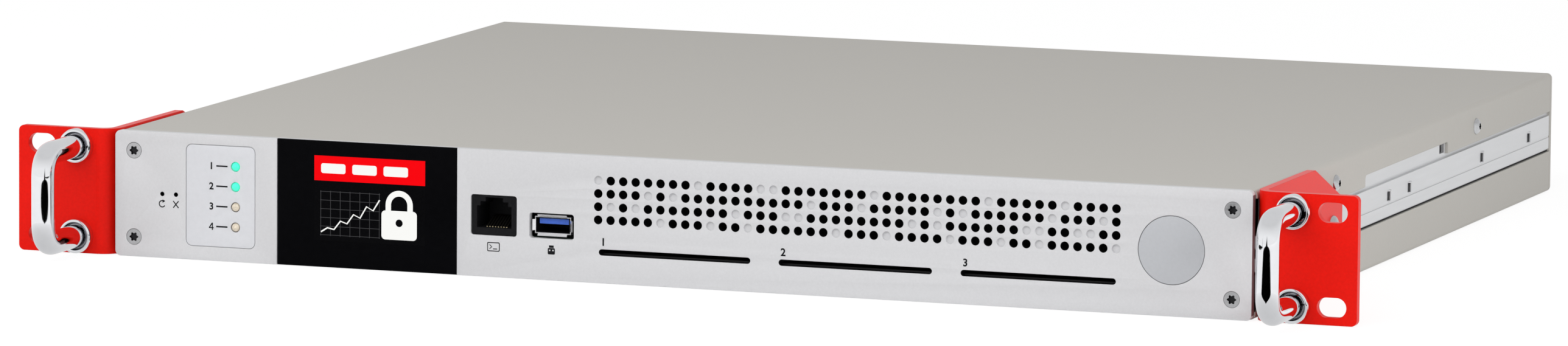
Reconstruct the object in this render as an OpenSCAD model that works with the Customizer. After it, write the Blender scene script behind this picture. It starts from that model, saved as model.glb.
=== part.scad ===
// A 1U rack security appliance with a touch display, card slots, rear fans and two power supplies.
// Lengths are millimetres. X runs right, Y runs back from the panel's face and Z runs up.

/* [Chassis] */
// Width over the ears
rack_w = 482.6; // [481:0.1:500]
// Width of one ear
ear_w = 36; // [35.5:0.1:39]
// Panel face to rear face
chassis_d = 365; // [345:1:480]
// Height of the panel and the ears
panel_h = 43.6; // [43.4:0.1:60]
// Thickness of the cover sheets
cover_t = 1; // [0.8:0.1:1.2]
// Bend radius of the covers, outside
cover_r = 1.8; // [1.4:0.1:3]
// Distance of the top cover below the panel's top edge
cover_drop = 0.4; // [0.2:0.1:1]
// Seam between covers and end plates
seam = 0.3; // [0.2:0.05:0.6]
// Top cover's side edge above mid-height
top_edge = 7.7; // [7:0.1:10]
// Bottom cover's side edge below mid-height
bottom_edge = 6.9; // [6.6:0.1:9]
// Thickness of the side frames
frame_t = 1.2; // [1:0.1:1.6]
// Turned-in flange of the side frames
frame_flange = 9; // [7:0.5:11]
// Turned-in end tabs of the side frames
frame_tab = 12; // [11:0.5:13]
// Thickness of the end tabs
tab_t = 3; // [2.5:0.1:4]
// Open gap in the sides behind the front panel
end_gap = 9; // [8:0.5:12]
// Depth of that gap into the side frames
end_gap_in = 3; // [2.5:0.1:4]
// Side wall left over and under that gap
end_gap_edge = 1.6; // [1.4:0.1:3]
// Height of a lug that bridges the gap
lug_h = 4.3; // [3:0.1:5]
// Depth of a lug
lug_d = 2.6; // [2:0.1:3]
// Pitch of the two lugs
lug_pitch = 7.6; // [6:0.1:10]
// Middle of the lugs above mid-height
lug_up = 0.35; // [-1:0.05:1]
// Thickness of the rear panel
rear_t = 2; // [1.5:0.1:3]

/* [Front panel] */
// Thickness of the front panel
panel_t = 3; // [2.6:0.1:4]
// Corner radius of the front panel
panel_r = 2; // [1:0.1:4]
// Panel edge inside the cover's side
panel_inset = 0.3; // [0.1:0.1:1]
// Panel screws in from the panel's side edges
screw_in = 7; // [6:0.1:7.5]
// Panel screws above and below mid-height
screw_up = 15; // [12:0.1:16]
// Diameter of the panel screws
screw_d = 3; // [2.5:0.1:3.2]
// Head diameter of the panel screws
screw_head = 5.5; // [5:0.1:6]
// Length of the panel screws
screw_len = 5.5; // [4.5:0.1:5.8]
// Gap around a shank in its hole
shank_gap = 0.06; // [0.04:0.01:0.1]

/* [Indicators] */
// Label inlay width
label_w = 25.4; // [20:0.1:28]
// Label inlay height
label_h = 35; // [30:0.1:38]
// Label inlay centre, as a ratio of the panel's width
label_ratio = -0.40415; // [-0.406:0.0001:-0.4]
// Label inlay corner radius
label_r = 2; // [1:0.1:4]
// Label inlay above mid-height
label_up = 0.65; // [0:0.05:1]
// Label inlay thickness
label_t = 0.5; // [0.3:0.1:1]
// Gap around an inlay
inlay_gap = 0.2; // [0.1:0.05:0.4]
// Depth of an inlay's face below the panel
inlay_sink = 0.1; // [0:0.05:0.3]
// Indicator diameter
led_d = 3; // [2:0.1:3.4]
// Indicator pitch
led_pitch = 7; // [6:0.1:8]
// Indicators right of the label's centre
led_dx = 5.5; // [4:0.1:8]
// Indicator dome above the panel face
led_proud = 0.6; // [0.3:0.1:1]
// Distance from the panel's back to the indicator board
board_gap = 5; // [4.5:0.1:7]
// Thickness of the small boards
board_t = 1.6; // [1.2:0.1:2]
// Pinhole diameter
pin_d = 1.5; // [1:0.1:2]
// First pinhole, as a ratio of the panel's width
pin_ratio = -0.45707; // [-0.4585:0.0001:-0.456]
// Pinhole pitch
pin_pitch = 5.1; // [4.9:0.1:5.4]
// Pinholes above mid-height
pin_up = 0.4; // [-1:0.1:2]
// Switch body size
switch_w = 4.5; // [4:0.1:4.7]
// Switch body depth
switch_d = 3.2; // [2.8:0.1:3.6]
// Button diameter
button_d = 2.4; // [2:0.1:2.8]
// Button travel
button_travel = 0.4; // [0.2:0.05:0.6]
// Running clearance of a button in its body
button_gap = 0.06; // [0.04:0.01:0.1]
// Gap from the panel's back to the buttons
button_back = 0.5; // [0.4:0.1:0.8]
// Floor of a switch under its button
switch_floor = 1; // [0.8:0.1:1.2]
// Room beside the indicator board
board_side = 2.3; // [2:0.1:3]
// Board studs above and below mid-height
board_stud = 15; // [14:0.5:16]

/* [Display] */
// Lens width
lens_w = 66; // [58:0.1:67]
// Lens centre, as a ratio of the panel's width
lens_ratio = -0.2722; // [-0.2755:0.0001:-0.271]
// Lens thickness
lens_t = 1; // [0.7:0.1:1.2]
// Lens face below the panel face
lens_sink = 0.3; // [0.1:0.05:0.4]
// Display module width
display_w = 50; // [46:0.1:54]
// Display module height
display_h = 36; // [33:0.1:38]
// Display module thickness
display_t = 3; // [2.6:0.1:3.6]
// Display module above mid-height
display_up = 0.8; // [0:0.1:1.5]
// Gap around the display module in its window
display_gap = 0.4; // [0.2:0.1:0.8]
// Gap from the lens to the display
display_air = 0.05; // [0.03:0.01:0.1]
// Display board beyond the display at each side
display_board_side = 5.5; // [5:0.1:6]
// Display board beyond the display above and below
display_board_rim = 1.5; // [1:0.1:2]

/* [Ports] */
// Console opening centre, as a ratio of the panel's width
console_ratio = -0.15854; // [-0.1605:0.0001:-0.154]
// Console opening below mid-height
console_down = 0.65; // [0:0.05:2]
// Console opening width
console_w = 16.8; // [16.4:0.1:17.4]
// Console opening height
console_h = 13.9; // [13.6:0.1:14.6]
// Gap around a socket in its opening
port_gap = 0.3; // [0.2:0.05:0.5]
// Socket face behind the plate's face
port_sink = 0.6; // [0.3:0.1:1]
// Depth of the network sockets
jack_d = 18; // [16:0.5:20]
// USB opening centre, as a ratio of the panel's width
usb_ratio = -0.10707; // [-0.109:0.0001:-0.105]
// USB opening below mid-height
usb_down = 3.25; // [2.8:0.05:3.6]
// USB opening width
usb_w = 16.2; // [15.8:0.1:17]
// USB opening height
usb_h = 8.7; // [8.5:0.1:9.4]
// USB shell length
usb_len = 17; // [15:0.5:20]
// USB shell sheet
usb_t = 0.35; // [0.3:0.05:0.4]
// USB shell behind the network socket's face
usb_sink = 0.9; // [0.8:0.05:1]
// USB shell above the centre of its opening
usb_lift = 0.15; // [0:0.05:0.3]
// Opening width left beside the USB shell
usb_room_w = 3.1; // [2.8:0.1:3.4]
// Opening height left beside the USB shell
usb_room_h = 2.8; // [2.6:0.1:3]
// Port board beyond the two openings
port_board_out = 2.7; // [2:0.1:3.5]
// Gap from the panel's back to the port board
port_board_gap = 0.4; // [0.3:0.1:0.6]
// Port board depth
port_board_d = 37; // [32:0.5:45]

/* [Vents and cards] */
// Vent hole diameter
vent_d = 3; // [2.4:0.1:3.4]
// Vent hole pitch, as a ratio of the panel's width
vent_pitch_ratio = 0.010976; // [0.0107:0.00001:0.0111]
// First vent column, as a ratio of the panel's width
vent_ratio = -0.06585; // [-0.068:0.0001:-0.0635]
// Top vent row above mid-height
vent_up = 13.35; // [12.5:0.05:14]
// Depth of a blind vent
vent_blind = 0.8; // [0.4:0.1:1.2]
// Card slot width
slot_w = 54.6; // [54.4:0.1:56]
// Card slot height
slot_h = 2.1; // [1.8:0.1:2.6]
// First card slot centre, as a ratio of the panel's width
slot_ratio = 0.00159; // [0:0.0001:0.005]
// Card slot pitch, as a ratio of the panel's width
slot_pitch_ratio = 0.15805; // [0.149:0.0001:0.1595]
// Card slots below mid-height
slot_down = 11.2; // [10.4:0.1:12]
// Card reader width
reader_w = 58; // [57.6:0.1:60]
// Card reader depth
reader_d = 64; // [60:0.5:75]
// Gap for the card in a reader
reader_gap = 1.2; // [1:0.1:1.6]
// Width of the card passage
card_w = 54.8; // [54.4:0.1:55.4]
// Gap between the stacked plates of a reader
plate_gap = 0.05; // [0.03:0.01:0.1]
// Card reader lid thickness
reader_lid = 3; // [2:0.1:4]
// Gap from the panel's back to the card readers
reader_back = 0.2; // [0.1:0.1:0.5]
// Badge disc diameter
badge_d = 23; // [20:0.1:24]
// Badge disc thickness
badge_t = 1; // [0.6:0.1:1.4]
// Badge centre, as a ratio of the panel's width
badge_ratio = 0.43122; // [0.429:0.0001:0.436]
// Badge above mid-height
badge_up = 0.4; // [0:0.1:1]
// Baffle behind the panel's back
baffle_gap = 9; // [7:0.5:12]
// Baffle sheet
baffle_t = 1; // [0.8:0.1:1.5]

/* [Ears and handles] */
// Ear sheet thickness
ear_t = 3; // [2.5:0.1:3.4]
// Ear face behind the panel face
ear_back = 0.3; // [0:0.1:0.8]
// Ear bend radius, outside
ear_r = 7; // [5:0.1:8]
// Ear side flange reach behind the panel face
ear_reach = 92; // [88:0.5:92.5]
// Flange straight top edge
ear_top = 60; // [55:0.5:65]
// Flange rear edge height
ear_rear_h = 18; // [16:0.5:22]
// Ear corner radius
ear_corner = 2; // [1:0.1:3]
// Rack slot length
rack_slot_w = 10.2; // [9:0.1:10.8]
// Rack slot height
rack_slot_h = 6.8; // [6.4:0.1:7.2]
// Rack slot centre in from the ear's edge
rack_slot_in = 8.75; // [8:0.05:9.5]
// Rack hole spacing up
rack_pitch_z = 31.75; // [30:0.05:32]
// Handle tube diameter
handle_d = 8; // [6:0.1:8.4]
// Handle bar in front of the ear
handle_reach = 29.3; // [25:0.1:40]
// Handle leg pitch
handle_pitch = 31.4; // [28:0.1:31.5]
// Handle bend radius at the centre line
handle_r = 10; // [7:0.1:12]
// Handle leg out from the chassis side
handle_out = 14; // [13.6:0.1:15]
// Ferrule diameter
ferrule_d = 12; // [11.4:0.1:12.1]
// Ferrule height
ferrule_h = 3; // [2:0.1:4]
// Running gap of the ferrule round the leg
ferrule_gap = 0.1; // [0.05:0.01:0.15]
// Handle screw diameter
handle_screw_d = 4; // [3:0.1:4.4]
// Handle screw head diameter
handle_screw_head = 8; // [7:0.1:8.6]
// Handle screw thread in the leg
handle_thread = 7; // [5:0.1:8]
// Ear screw diameter
ear_screw_d = 4; // [3.5:0.1:4.4]
// Ear screw head diameter
ear_screw_head = 8; // [7:0.1:8.6]
// Ear screw head height
ear_screw_cap = 2; // [1.6:0.1:2.4]
// Rear ear screw behind the panel face
ear_screw_y = 81; // [78:0.5:82]
// Front ear screws behind the panel face
ear_screw_front = 36; // [30:0.5:45]
// Front ear screws above and below mid-height
ear_screw_up = 13; // [12.5:0.1:14]
// Width of a hole over the screw that passes it
hole_slip = 0.6; // [0.4:0.1:0.8]

/* [Sides] */
// Slide strip height
rail_h = 12; // [10:0.1:12.2]
// Slide strip thickness
rail_t = 1.2; // [1:0.1:1.5]
// Slide strip start behind the panel face
rail_start = 95; // [94:0.5:110]
// Slide strip end before the rear face
rail_end = 4; // [3:0.5:20]
// Slide strip centre above mid-height
rail_up = 0.4; // [0.2:0.05:0.6]
// Radius of the slide strip's raised lances
lance_r = 1.5; // [1.3:0.1:1.7]
// Wall of a lance
lance_t = 0.4; // [0.3:0.05:0.5]
// Axis of a lance below the strip's face
lance_sink = 0.7; // [0.5:0.1:0.9]
// Axis of a lance behind the front edge of its slit
lance_gap = 2.4; // [2.2:0.1:2.7]
// Slit in front of a lance
lance_slit = 1.9; // [1.6:0.1:2.2]
// Height of a lance
lance_h = 3.2; // [2.4:0.1:4]
// Foot of a lance below the strip's centre
lance_down = 0.6; // [0.2:0.1:1.6]
// Groove depth of the slide strip
groove_d = 0.25; // [0.1:0.05:0.4]
// Groove height
groove_h = 0.6; // [0.4:0.1:1]
// Groove below the strip's centre
groove_down = 2; // [1.6:0.1:3]
// Depth of the notches in the cover's front edge
notch_d = 0.7; // [0.4:0.1:1]
// Width of the notch at each end
notch_w = 13.5; // [10:0.5:16]
// Width of the notch over the display
lens_notch_w = 78; // [60:1:90]
// Shift of that notch from the display's middle
lens_notch_dx = 1.5; // [-3:0.1:3]
// Rail lances behind the panel's face
lances = [155, 180, 271, 332]; // [120:1:350]
// Relief in the cover's side edge, front end
relief_start = 129; // [120:0.5:140]
// Relief length
relief_len = 101; // [80:0.5:110]
// Relief height
relief_h = 4.1; // [3:0.1:4.4]
// Corner radius of the relief
relief_r = 1.5; // [0.8:0.1:2]
// Length of the hole at the rear end of the relief
relief_hole = 5.5; // [4:0.5:8]
// Cover screw diameter
cover_screw_d = 3; // [2.5:0.1:3.2]
// Cover screw head diameter
cover_screw_head = 5.8; // [5.4:0.1:6.2]
// Cover screw head height
cover_screw_cap = 1.7; // [1.4:0.1:2]
// Cover screws above mid-height
cover_screw_up = 13.3; // [13:0.1:14]
// Front cover screw behind the panel face
cover_screw_y = 93.5; // [93:0.5:100]
// Cover screw pitch
cover_screw_pitch = 172; // [150:0.5:200]

// Underside screw diameter
base_screw_d = 2.5; // [2:0.1:3]
// Underside screw head diameter
base_screw_head = 4.6; // [4.2:0.1:5]
// Underside screws in from the frame's side
base_screw_in = 5; // [4.5:0.1:5.5]

/* [Electronics] */
// Main board height above the floor
main_up = 6; // [5:0.1:8]
// Main board clear of the side frame's tab
board_clear = 0.5; // [0.3:0.1:1]
// Main board depth
main_d = 200; // [195:1:205]
// Security module width, as a ratio of the main board's
module_ratio = 0.4783; // [0.44:0.001:0.5]
// Security module in from the main board's left edge
module_in = 10; // [6:0.5:14]
// First row of parts behind the main board's front edge
front_row = 22; // [20:0.5:24]
// Second row of parts behind the main board's front edge
second_row = 60; // [50:0.5:64]
// Heatsink in from the main board's right edge
sink_in = 12; // [8:0.5:16]
// Security module depth
module_d = 92; // [80:0.5:100]
// Groove depth in the security module's lid
module_groove = 1.2; // [0.8:0.1:2]
// Security module height
module_h = 16; // [12:0.5:20]
// Heatsink width, as a ratio of the main board's
sink_ratio = 0.28344; // [0.25:0.001:0.3]
// Heatsink depth
sink_d = 64; // [50:0.5:80]
// Heatsink fin height
fin_h = 20; // [12:0.5:24]
// Heatsink fins
fins = 13; // [9:1:15]
// Heatsink fin thickness
fin_t = 1.2; // [0.8:0.1:1.6]
// Heatsink base plate
sink_base = 3; // [2:0.1:4]
// Processor lid height
lid_h = 2; // [1.5:0.1:2.5]
// Indicator board height
indicator_h = 38; // [37.6:0.1:38.4]
// Power backplane height
backplane_h = 36; // [30:0.5:38]
// Power backplane thickness
backplane_t = 2; // [1.6:0.1:2.4]
// Supply connector width
plug_w = 44; // [40:0.5:50]
// Supply connector height
plug_h = 13; // [11:0.1:15]
// Supply connector depth
plug_d = 12.7; // [12:0.1:12.9]
// Ribbon thickness
ribbon_t = 1; // [0.8:0.1:1.2]
// Ribbon width from the indicators
ribbon_w1 = 16; // [12:0.5:20]
// Ribbon width from the display
ribbon_w2 = 26; // [20:0.5:32]
// Ribbon width from the ports
ribbon_w3 = 20; // [16:0.5:24]
// Ribbon below mid-height at the small boards
ribbon_down = 10; // [9:0.1:11]
// Gap from the main board to the cage
main_side = 8; // [6:0.5:10]
// Gap from the main board to the fans
main_back = 3; // [2:0.5:4]
// Gap from the board's neck to the fans
neck_side = 4; // [3:0.5:5]
// Ribbon above the main board
ribbon_up = 7; // [5:0.1:9]
// Battery diameter
battery_d = 14.5; // [12:0.1:17]
// Battery length
battery_l = 25; // [20:0.5:34]

/* [Fans] */
// Fan frame size
fan_w = 40; // [38:0.1:40.4]
// Fan frame depth
fan_d = 28; // [20:0.5:30]
// Gap between fans, as a ratio of the free width behind
fan_gap_ratio = 0.03115; // [0.02:0.001:0.06]
// Fan bore diameter
fan_bore = 38; // [36:0.1:38.4]
// Running gap at the blade tips
blade_gap = 0.5; // [0.4:0.05:0.8]
// Fan hub diameter
hub_d = 21; // [18:0.1:23]
// Fan blades
blades = 7; // [5:1:9]
// Blade thickness
blade_t = 0.9; // [0.7:0.1:1.2]
// Fan shaft diameter
shaft_d = 3; // [2.5:0.1:4]
// Running clearance of a shaft or hinge pin in its bore
running_gap = 0.05; // [0.03:0.01:0.08]
// Gap from the supply cage to the first fan, as a ratio of the free width behind
fan_in_ratio = 0.0623; // [0.05:0.001:0.1]
// Fan screw thread in the frame
fan_thread = 7; // [5:0.1:8]
// Fan screws from the fan's axis
fan_hole = 16; // [15.5:0.1:16.5]
// Motor plate and strut thickness
hub_t = 3; // [2.5:0.1:3.5]
// Bearing boss before the motor plate
boss_l = 6; // [5:0.1:7]
// Wall behind the bearing bore
hub_end = 1; // [0.8:0.1:1.2]
// Rotor behind the fan's front
rotor_in = 1.5; // [1:0.1:2]
// Grille hole diameter
grille_d = 4.2; // [3.5:0.1:4.4]

/* [Network sockets] */
// Network socket width
jack_w = 14.4; // [14:0.1:15]
// Network socket height
jack_h = 12.8; // [12.6:0.1:13.4]
// Gap between network sockets, as a ratio of the free width behind
jack_gap_ratio = 0.05607; // [0.04:0.001:0.08]
// Gap from the last fan to the first socket, as a ratio of the free width behind
jack_in_ratio = 0.18692; // [0.12:0.001:0.25]
// Rear socket face before the rear panel's outside
jack_sink = 0.2; // [0.1:0.1:0.4]
// Plug opening width
port_w = 12.6; // [12:0.1:13]
// Plug opening height
port_h = 7.5; // [7:0.1:7.8]
// Plug opening depth
port_d = 12; // [11:0.1:13]
// Plug opening floor below the socket's centre
port_down = 4.35; // [4:0.05:4.6]

/* [Power supplies] */
// Supply width
psu_w = 73.5; // [70:0.1:75]
// Supply height
psu_h = 38.5; // [36:0.1:39]
// Supply depth
psu_l = 182; // [160:1:190]
// Sliding gap of a supply in its bay
psu_gap = 0.4; // [0.35:0.05:0.6]
// Sheet of the supply case
psu_t = 1; // [0.8:0.1:1.4]
// Supply face flange
psu_face = 1.5; // [1:0.1:2]
// Face flange beyond the case
psu_lip = 0.75; // [0.7:0.01:0.8]
// Cage sheet
cage_t = 1; // [0.8:0.1:1.2]
// Cage floor sheet
cage_floor = 0.8; // [0.6:0.1:1]
// Inlet width
inlet_w = 26.5; // [26:0.1:28]
// Inlet height
inlet_h = 19; // [18.6:0.1:21]
// Inlet cavity width
socket_w = 24.5; // [24:0.1:24.6]
// Inlet cavity height
socket_h = 16.5; // [16:0.1:16.6]
// Inlet cavity depth
socket_d = 16; // [14:0.1:18]
// Inlet rim
inlet_rim = 1.5; // [1:0.1:1.8]
// Bail wire diameter
bail_d = 3.4; // [3:0.1:4]
// Bail pivot pin diameter
bail_pin = 3; // [2.5:0.1:3]
// Bail width between arm centres
bail_w = 19; // [18:0.1:20]
// Bail drop below its pivot
bail_drop = 20; // [16:0.1:21]
// Bail pivot behind the supply face
bail_out = 3.4; // [3:0.1:4]
// Latch lever thickness
latch_t = 2; // [1.6:0.1:2.4]
// Latch lever height
latch_h = 10; // [8:0.1:12]
// Latch pivot in front of the rear face
latch_in = 26; // [22:0.1:30]
// Latch tab behind the supply face
latch_out = 8.5; // [7:0.1:9]
// Latch pivot pin diameter
latch_pin = 3; // [2:0.1:3]
// Latch lever in from the supply's side
latch_edge = 3; // [2.8:0.1:3.4]
// Latch swing in degrees
latch_swing = 5; // [3:0.5:5.5]
// Room left beside the latch at the end of its swing
latch_room = 1; // [0.6:0.1:1.4]
// Latch above the supply's middle
latch_up = 7; // [6:0.1:8]
// Gap above and below the latch
pocket_gap = 0.4; // [0.3:0.1:0.6]
// Bail beside the supply's middle
bail_dx = 11; // [10:0.1:12]
// Bail pins above the supply's middle
bail_up = 11; // [10:0.1:12]
// Bail lug width
bail_lug_w = 4; // [3.5:0.1:5]
// Bail lug beside the bail
bail_lug_gap = 2.5; // [2:0.1:3]
// Gap round a supply in its opening and over the cage floor
psu_slip = 0.3; // [0.25:0.05:0.4]
// Inlet from the supply's edge
inlet_edge = 3; // [2.5:0.1:3.5]
// Supply vent hole diameter
psu_vent_d = 3.4; // [3:0.1:3.8]
// Supply vent hole pitch
psu_vent_pitch = 4.6; // [4.2:0.1:5]

/* [Hidden] */
$fn = 48;
eps = 0.01;
zc = panel_h / 2;
chassis_w = rack_w - 2 * ear_w;
side_x = chassis_w / 2;
panel_w = chassis_w - 2 * panel_inset;
cover_top = panel_h - cover_drop;
floor_z = cover_t;
roof_z = cover_top - cover_t;
frame_x = side_x - cover_t;
frame_in = frame_x - frame_t;
rear_y = chassis_d - rear_t;

label_x = label_ratio * panel_w;
label_z = zc + label_up;
led_x = label_x + led_dx;
led_z = [for (k = [0 : 3]) label_z + led_pitch * (1.5 - k)];
pin_x = [pin_ratio * panel_w, pin_ratio * panel_w + pin_pitch];
pin_z = zc + pin_up;
board_y = panel_t + board_gap;
board_x0 = -frame_x + frame_tab + board_side;
board_x1 = label_x + label_w / 2 + 2;
switch_y = board_y - switch_d;
button_y = panel_t + button_back;

lens_x = lens_ratio * panel_w;
lens_depth = lens_sink + lens_t;
display_y = lens_depth + display_air;
display_board_y = display_y + display_t;
display_z = zc + display_up;
display_board_w = display_w + 2 * display_board_side;
display_board_h = display_h + 2 * display_board_rim;

console_x = console_ratio * panel_w;
console_z = zc - console_down;
console_jack_h = console_h - 2 * port_gap;
usb_x = usb_ratio * panel_w;
usb_y = port_sink + usb_sink;
usb_z = zc - usb_down + usb_lift;
usb_shell_w = usb_w - usb_room_w;
usb_shell_h = usb_h - usb_room_h;
port_board_z = console_z - console_jack_h / 2;
port_board_x = (console_x + usb_x) / 2;
port_board_w = usb_x - console_x + (usb_w + console_w) / 2 + 2 * port_board_out;

vent_rows = [
    ".ooooooo.oooo..ooooooo.oooooooo.ooooo.oooo",
    "oooo.o.oooooooooo.ooo.ooooo.o.oooooo.ooo.o",
    "o.o.ooooooo.ooo..oooooooo.o.oooooo..oo..oo",
    "ooooo.ooo.oo.oooooo.ooo.oooo.ooo.oo.ooooo."
];
vent_cols = len(vent_rows[0]);
vent_x = vent_ratio * panel_w;
vent_pitch = vent_pitch_ratio * panel_w;
vent_end = vent_x + vent_pitch * (vent_cols - 1);
slot_x = slot_ratio * panel_w;
slot_pitch = slot_pitch_ratio * panel_w;
slot_z = zc - slot_down;
reader_y = panel_t + reader_back;
reader_top = slot_z + reader_gap / 2 + reader_lid;
badge_x = badge_ratio * panel_w;
badge_z = zc + badge_up;

ear_x = rack_w / 2;
rack_slot_x = ear_x - rack_slot_in;
handle_x = side_x + handle_out;
handle_z = [zc - handle_pitch / 2, zc + handle_pitch / 2];
ear_screws_at = [
    [ear_screw_y, zc],
    [ear_screw_front, zc + ear_screw_up],
    [ear_screw_front, zc - ear_screw_up]
];
cover_screws_at = [cover_screw_y, cover_screw_y + cover_screw_pitch];
rail_z = zc + rail_up;

bay_right = frame_x - frame_tab - cage_t - psu_gap - 2;
psu_pitch = psu_w + 2 * psu_gap + cage_t;
psu_x = [bay_right - psu_w / 2 - psu_pitch, bay_right - psu_w / 2];
psu_z = floor_z + cage_floor + psu_slip;
psu_zc = psu_z + psu_h / 2;
psu_y = chassis_d - psu_l;
face_y = chassis_d + psu_face;
cage_left = psu_x[0] - psu_w / 2 - psu_gap - cage_t;
cage_right = bay_right + psu_gap + cage_t;
cage_y = psu_y + 4;
inlet_dx = -psu_w / 2 + inlet_w / 2 + inlet_edge;
bail_z = psu_zc + bail_up;
bail_y = face_y + bail_out;
latch_dx = psu_w / 2 - latch_edge;
latch_z = psu_zc + latch_up;
pocket_w = latch_edge + latch_t / 2 + (latch_in + psu_face) * tan(latch_swing) + latch_room;
rear_most = face_y + latch_out;
front_most = ear_back - handle_reach - handle_d / 2;
mid_y = (rear_most + front_most) / 2;

free_w = cage_left + frame_in - 3 * fan_w - 4 * jack_w;
fan_pitch = fan_w + free_w * fan_gap_ratio;
fan_x = [for (k = [0 : 2]) cage_left - free_w * fan_in_ratio - fan_w / 2 - k * fan_pitch];
fan_z = floor_z + fan_w / 2;
fan_y = rear_y - fan_d;
fan_left = fan_x[2] - fan_w / 2;
jack_pitch = jack_w + free_w * jack_gap_ratio;
jack_x = [for (k = [0 : 3]) fan_left - free_w * jack_in_ratio - jack_w / 2 - k * jack_pitch];
main_z = floor_z + main_up;
main_top = main_z + board_t;
jack_y = chassis_d - jack_sink;
jack_z = main_top + jack_h / 2;
main_x0 = -frame_x + frame_tab + board_clear;
main_x1 = cage_left - main_side;
main_y1 = fan_y - main_back;
main_y0 = main_y1 - main_d;
main_neck = fan_left - neck_side;
module_w = (main_x1 - main_x0) * module_ratio;
module_x = main_x0 + module_in;
module_y = main_y0 + front_row;
sink_w = (main_x1 - main_x0) * sink_ratio;
sink_x = main_x1 - sink_w - sink_in;
sink_y = main_y0 + second_row;
backplane_y = psu_y - plug_d - backplane_t - psu_gap;

// Flat helpers

module rounded_rect(w, h, r) {
    square([w, h - 2 * r], center = true);
    square([w - 2 * r, h], center = true);
    for (x = [-1, 1], y = [-1, 1])
        translate([x * (w / 2 - r), y * (h / 2 - r)]) circle(r = r);
}

module slot_shape(w, h) {
    square([w - h, h], center = true);
    for (x = [-1, 1]) translate([x * (w - h) / 2, 0]) circle(d = h);
}

module top_rounded(w, z0, z1, r) {
    translate([-w / 2, z0]) square([w, z1 - z0 - r]);
    translate([-w / 2 + r, z0]) square([w - 2 * r, z1 - z0]);
    for (x = [-1, 1]) translate([x * (w / 2 - r), z1 - r]) circle(r = r);
}

module six_lobe(d) {
    lobe = d * 0.26;
    core = d - lobe;
    circle(d = core);
    for (a = [0 : 60 : 300]) rotate(a) translate([core / 2, 0]) circle(d = lobe);
}

// Solid helpers

module placed() {
    translate([0, -mid_y, 0]) children();
}

module on_front(y, t) {
    translate([0, y + t, 0]) rotate([90, 0, 0]) linear_extrude(t) children();
}

module on_side(x, t) {
    translate([x, 0, 0]) rotate([90, 0, 90]) linear_extrude(t) children();
}

module bore_y(x, z, y, l, d) {
    translate([x, y, z]) rotate([-90, 0, 0]) cylinder(d = d, h = l);
}

module bore_x(x, y, z, l, d) {
    translate([x, y, z]) rotate([0, 90, 0]) cylinder(d = d, h = l);
}

module facing_front(x, y, z) {
    translate([x, y, z]) rotate([90, 0, 0]) children();
}

module facing_rear(x, y, z) {
    translate([x, y, z]) rotate([-90, 0, 0]) children();
}

module facing_right(x, y, z) {
    translate([x, y, z]) rotate([0, 90, 0]) children();
}

module both_sides() {
    children();
    mirror([1, 0, 0]) children();
}

module flat_screw(d, head, l, recess) {
    h = (head - d) / 2;
    socket = head * 0.55;
    difference() {
        union() {
            translate([0, 0, -h]) cylinder(d1 = d, d2 = head, h = h);
            translate([0, 0, -l]) cylinder(d = d, h = l - h);
        }
        translate([0, 0, -recess]) linear_extrude(recess + 1) six_lobe(socket);
    }
}

module flat_screw_hole(d, head, l) {
    h = (head - d) / 2;
    translate([0, 0, -h]) cylinder(d1 = d + 2 * shank_gap, d2 = head + 2 * shank_gap, h = h);
    translate([0, 0, -eps]) cylinder(d = head + 2 * shank_gap, h = 1);
    translate([0, 0, -l]) cylinder(d = d + 2 * shank_gap, h = l);
}

module dome_screw(d, head, cap, l) {
    r = (head * head / 4 + cap * cap) / (2 * cap);
    socket = head * 0.4;
    socket_floor = cap * 0.4;
    difference() {
        union() {
            intersection() {
                translate([0, 0, cap - r]) sphere(r = r);
                cylinder(d = head, h = cap);
            }
            translate([0, 0, -l]) cylinder(d = d, h = l);
        }
        translate([0, 0, socket_floor]) linear_extrude(cap) six_lobe(socket);
    }
}

// Front panel and its inlays

module vent_field(kind) {
    for (r = [0 : len(vent_rows) - 1], c = [0 : vent_cols - 1])
        if (vent_rows[r][c] == kind)
            translate([vent_x + c * vent_pitch, zc + vent_up - r * vent_pitch]) circle(d = vent_d);
}

module panel_outline() {
    difference() {
        translate([0, zc]) rounded_rect(panel_w, panel_h, panel_r);
        vent_field("o");
        for (k = [0 : 2]) translate([slot_x + k * slot_pitch, slot_z]) slot_shape(slot_w, slot_h);
        translate([console_x, console_z]) rounded_rect(console_w, console_h, 1);
        translate([usb_x, zc - usb_down]) rounded_rect(usb_w, usb_h, 1);
        translate([lens_x, display_z])
            square([display_w + 2 * display_gap, display_h + 2 * display_gap], center = true);
        for (x = pin_x) translate([x, pin_z]) circle(d = pin_d);
        for (z = led_z) translate([led_x, z]) circle(d = led_d + 2 * inlay_gap);
    }
}

module panel_screw_places() {
    for (x = [-1, 1], z = [-1, 1])
        facing_front(x * (panel_w / 2 - screw_in), 0, zc + z * screw_up) children();
}

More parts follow.
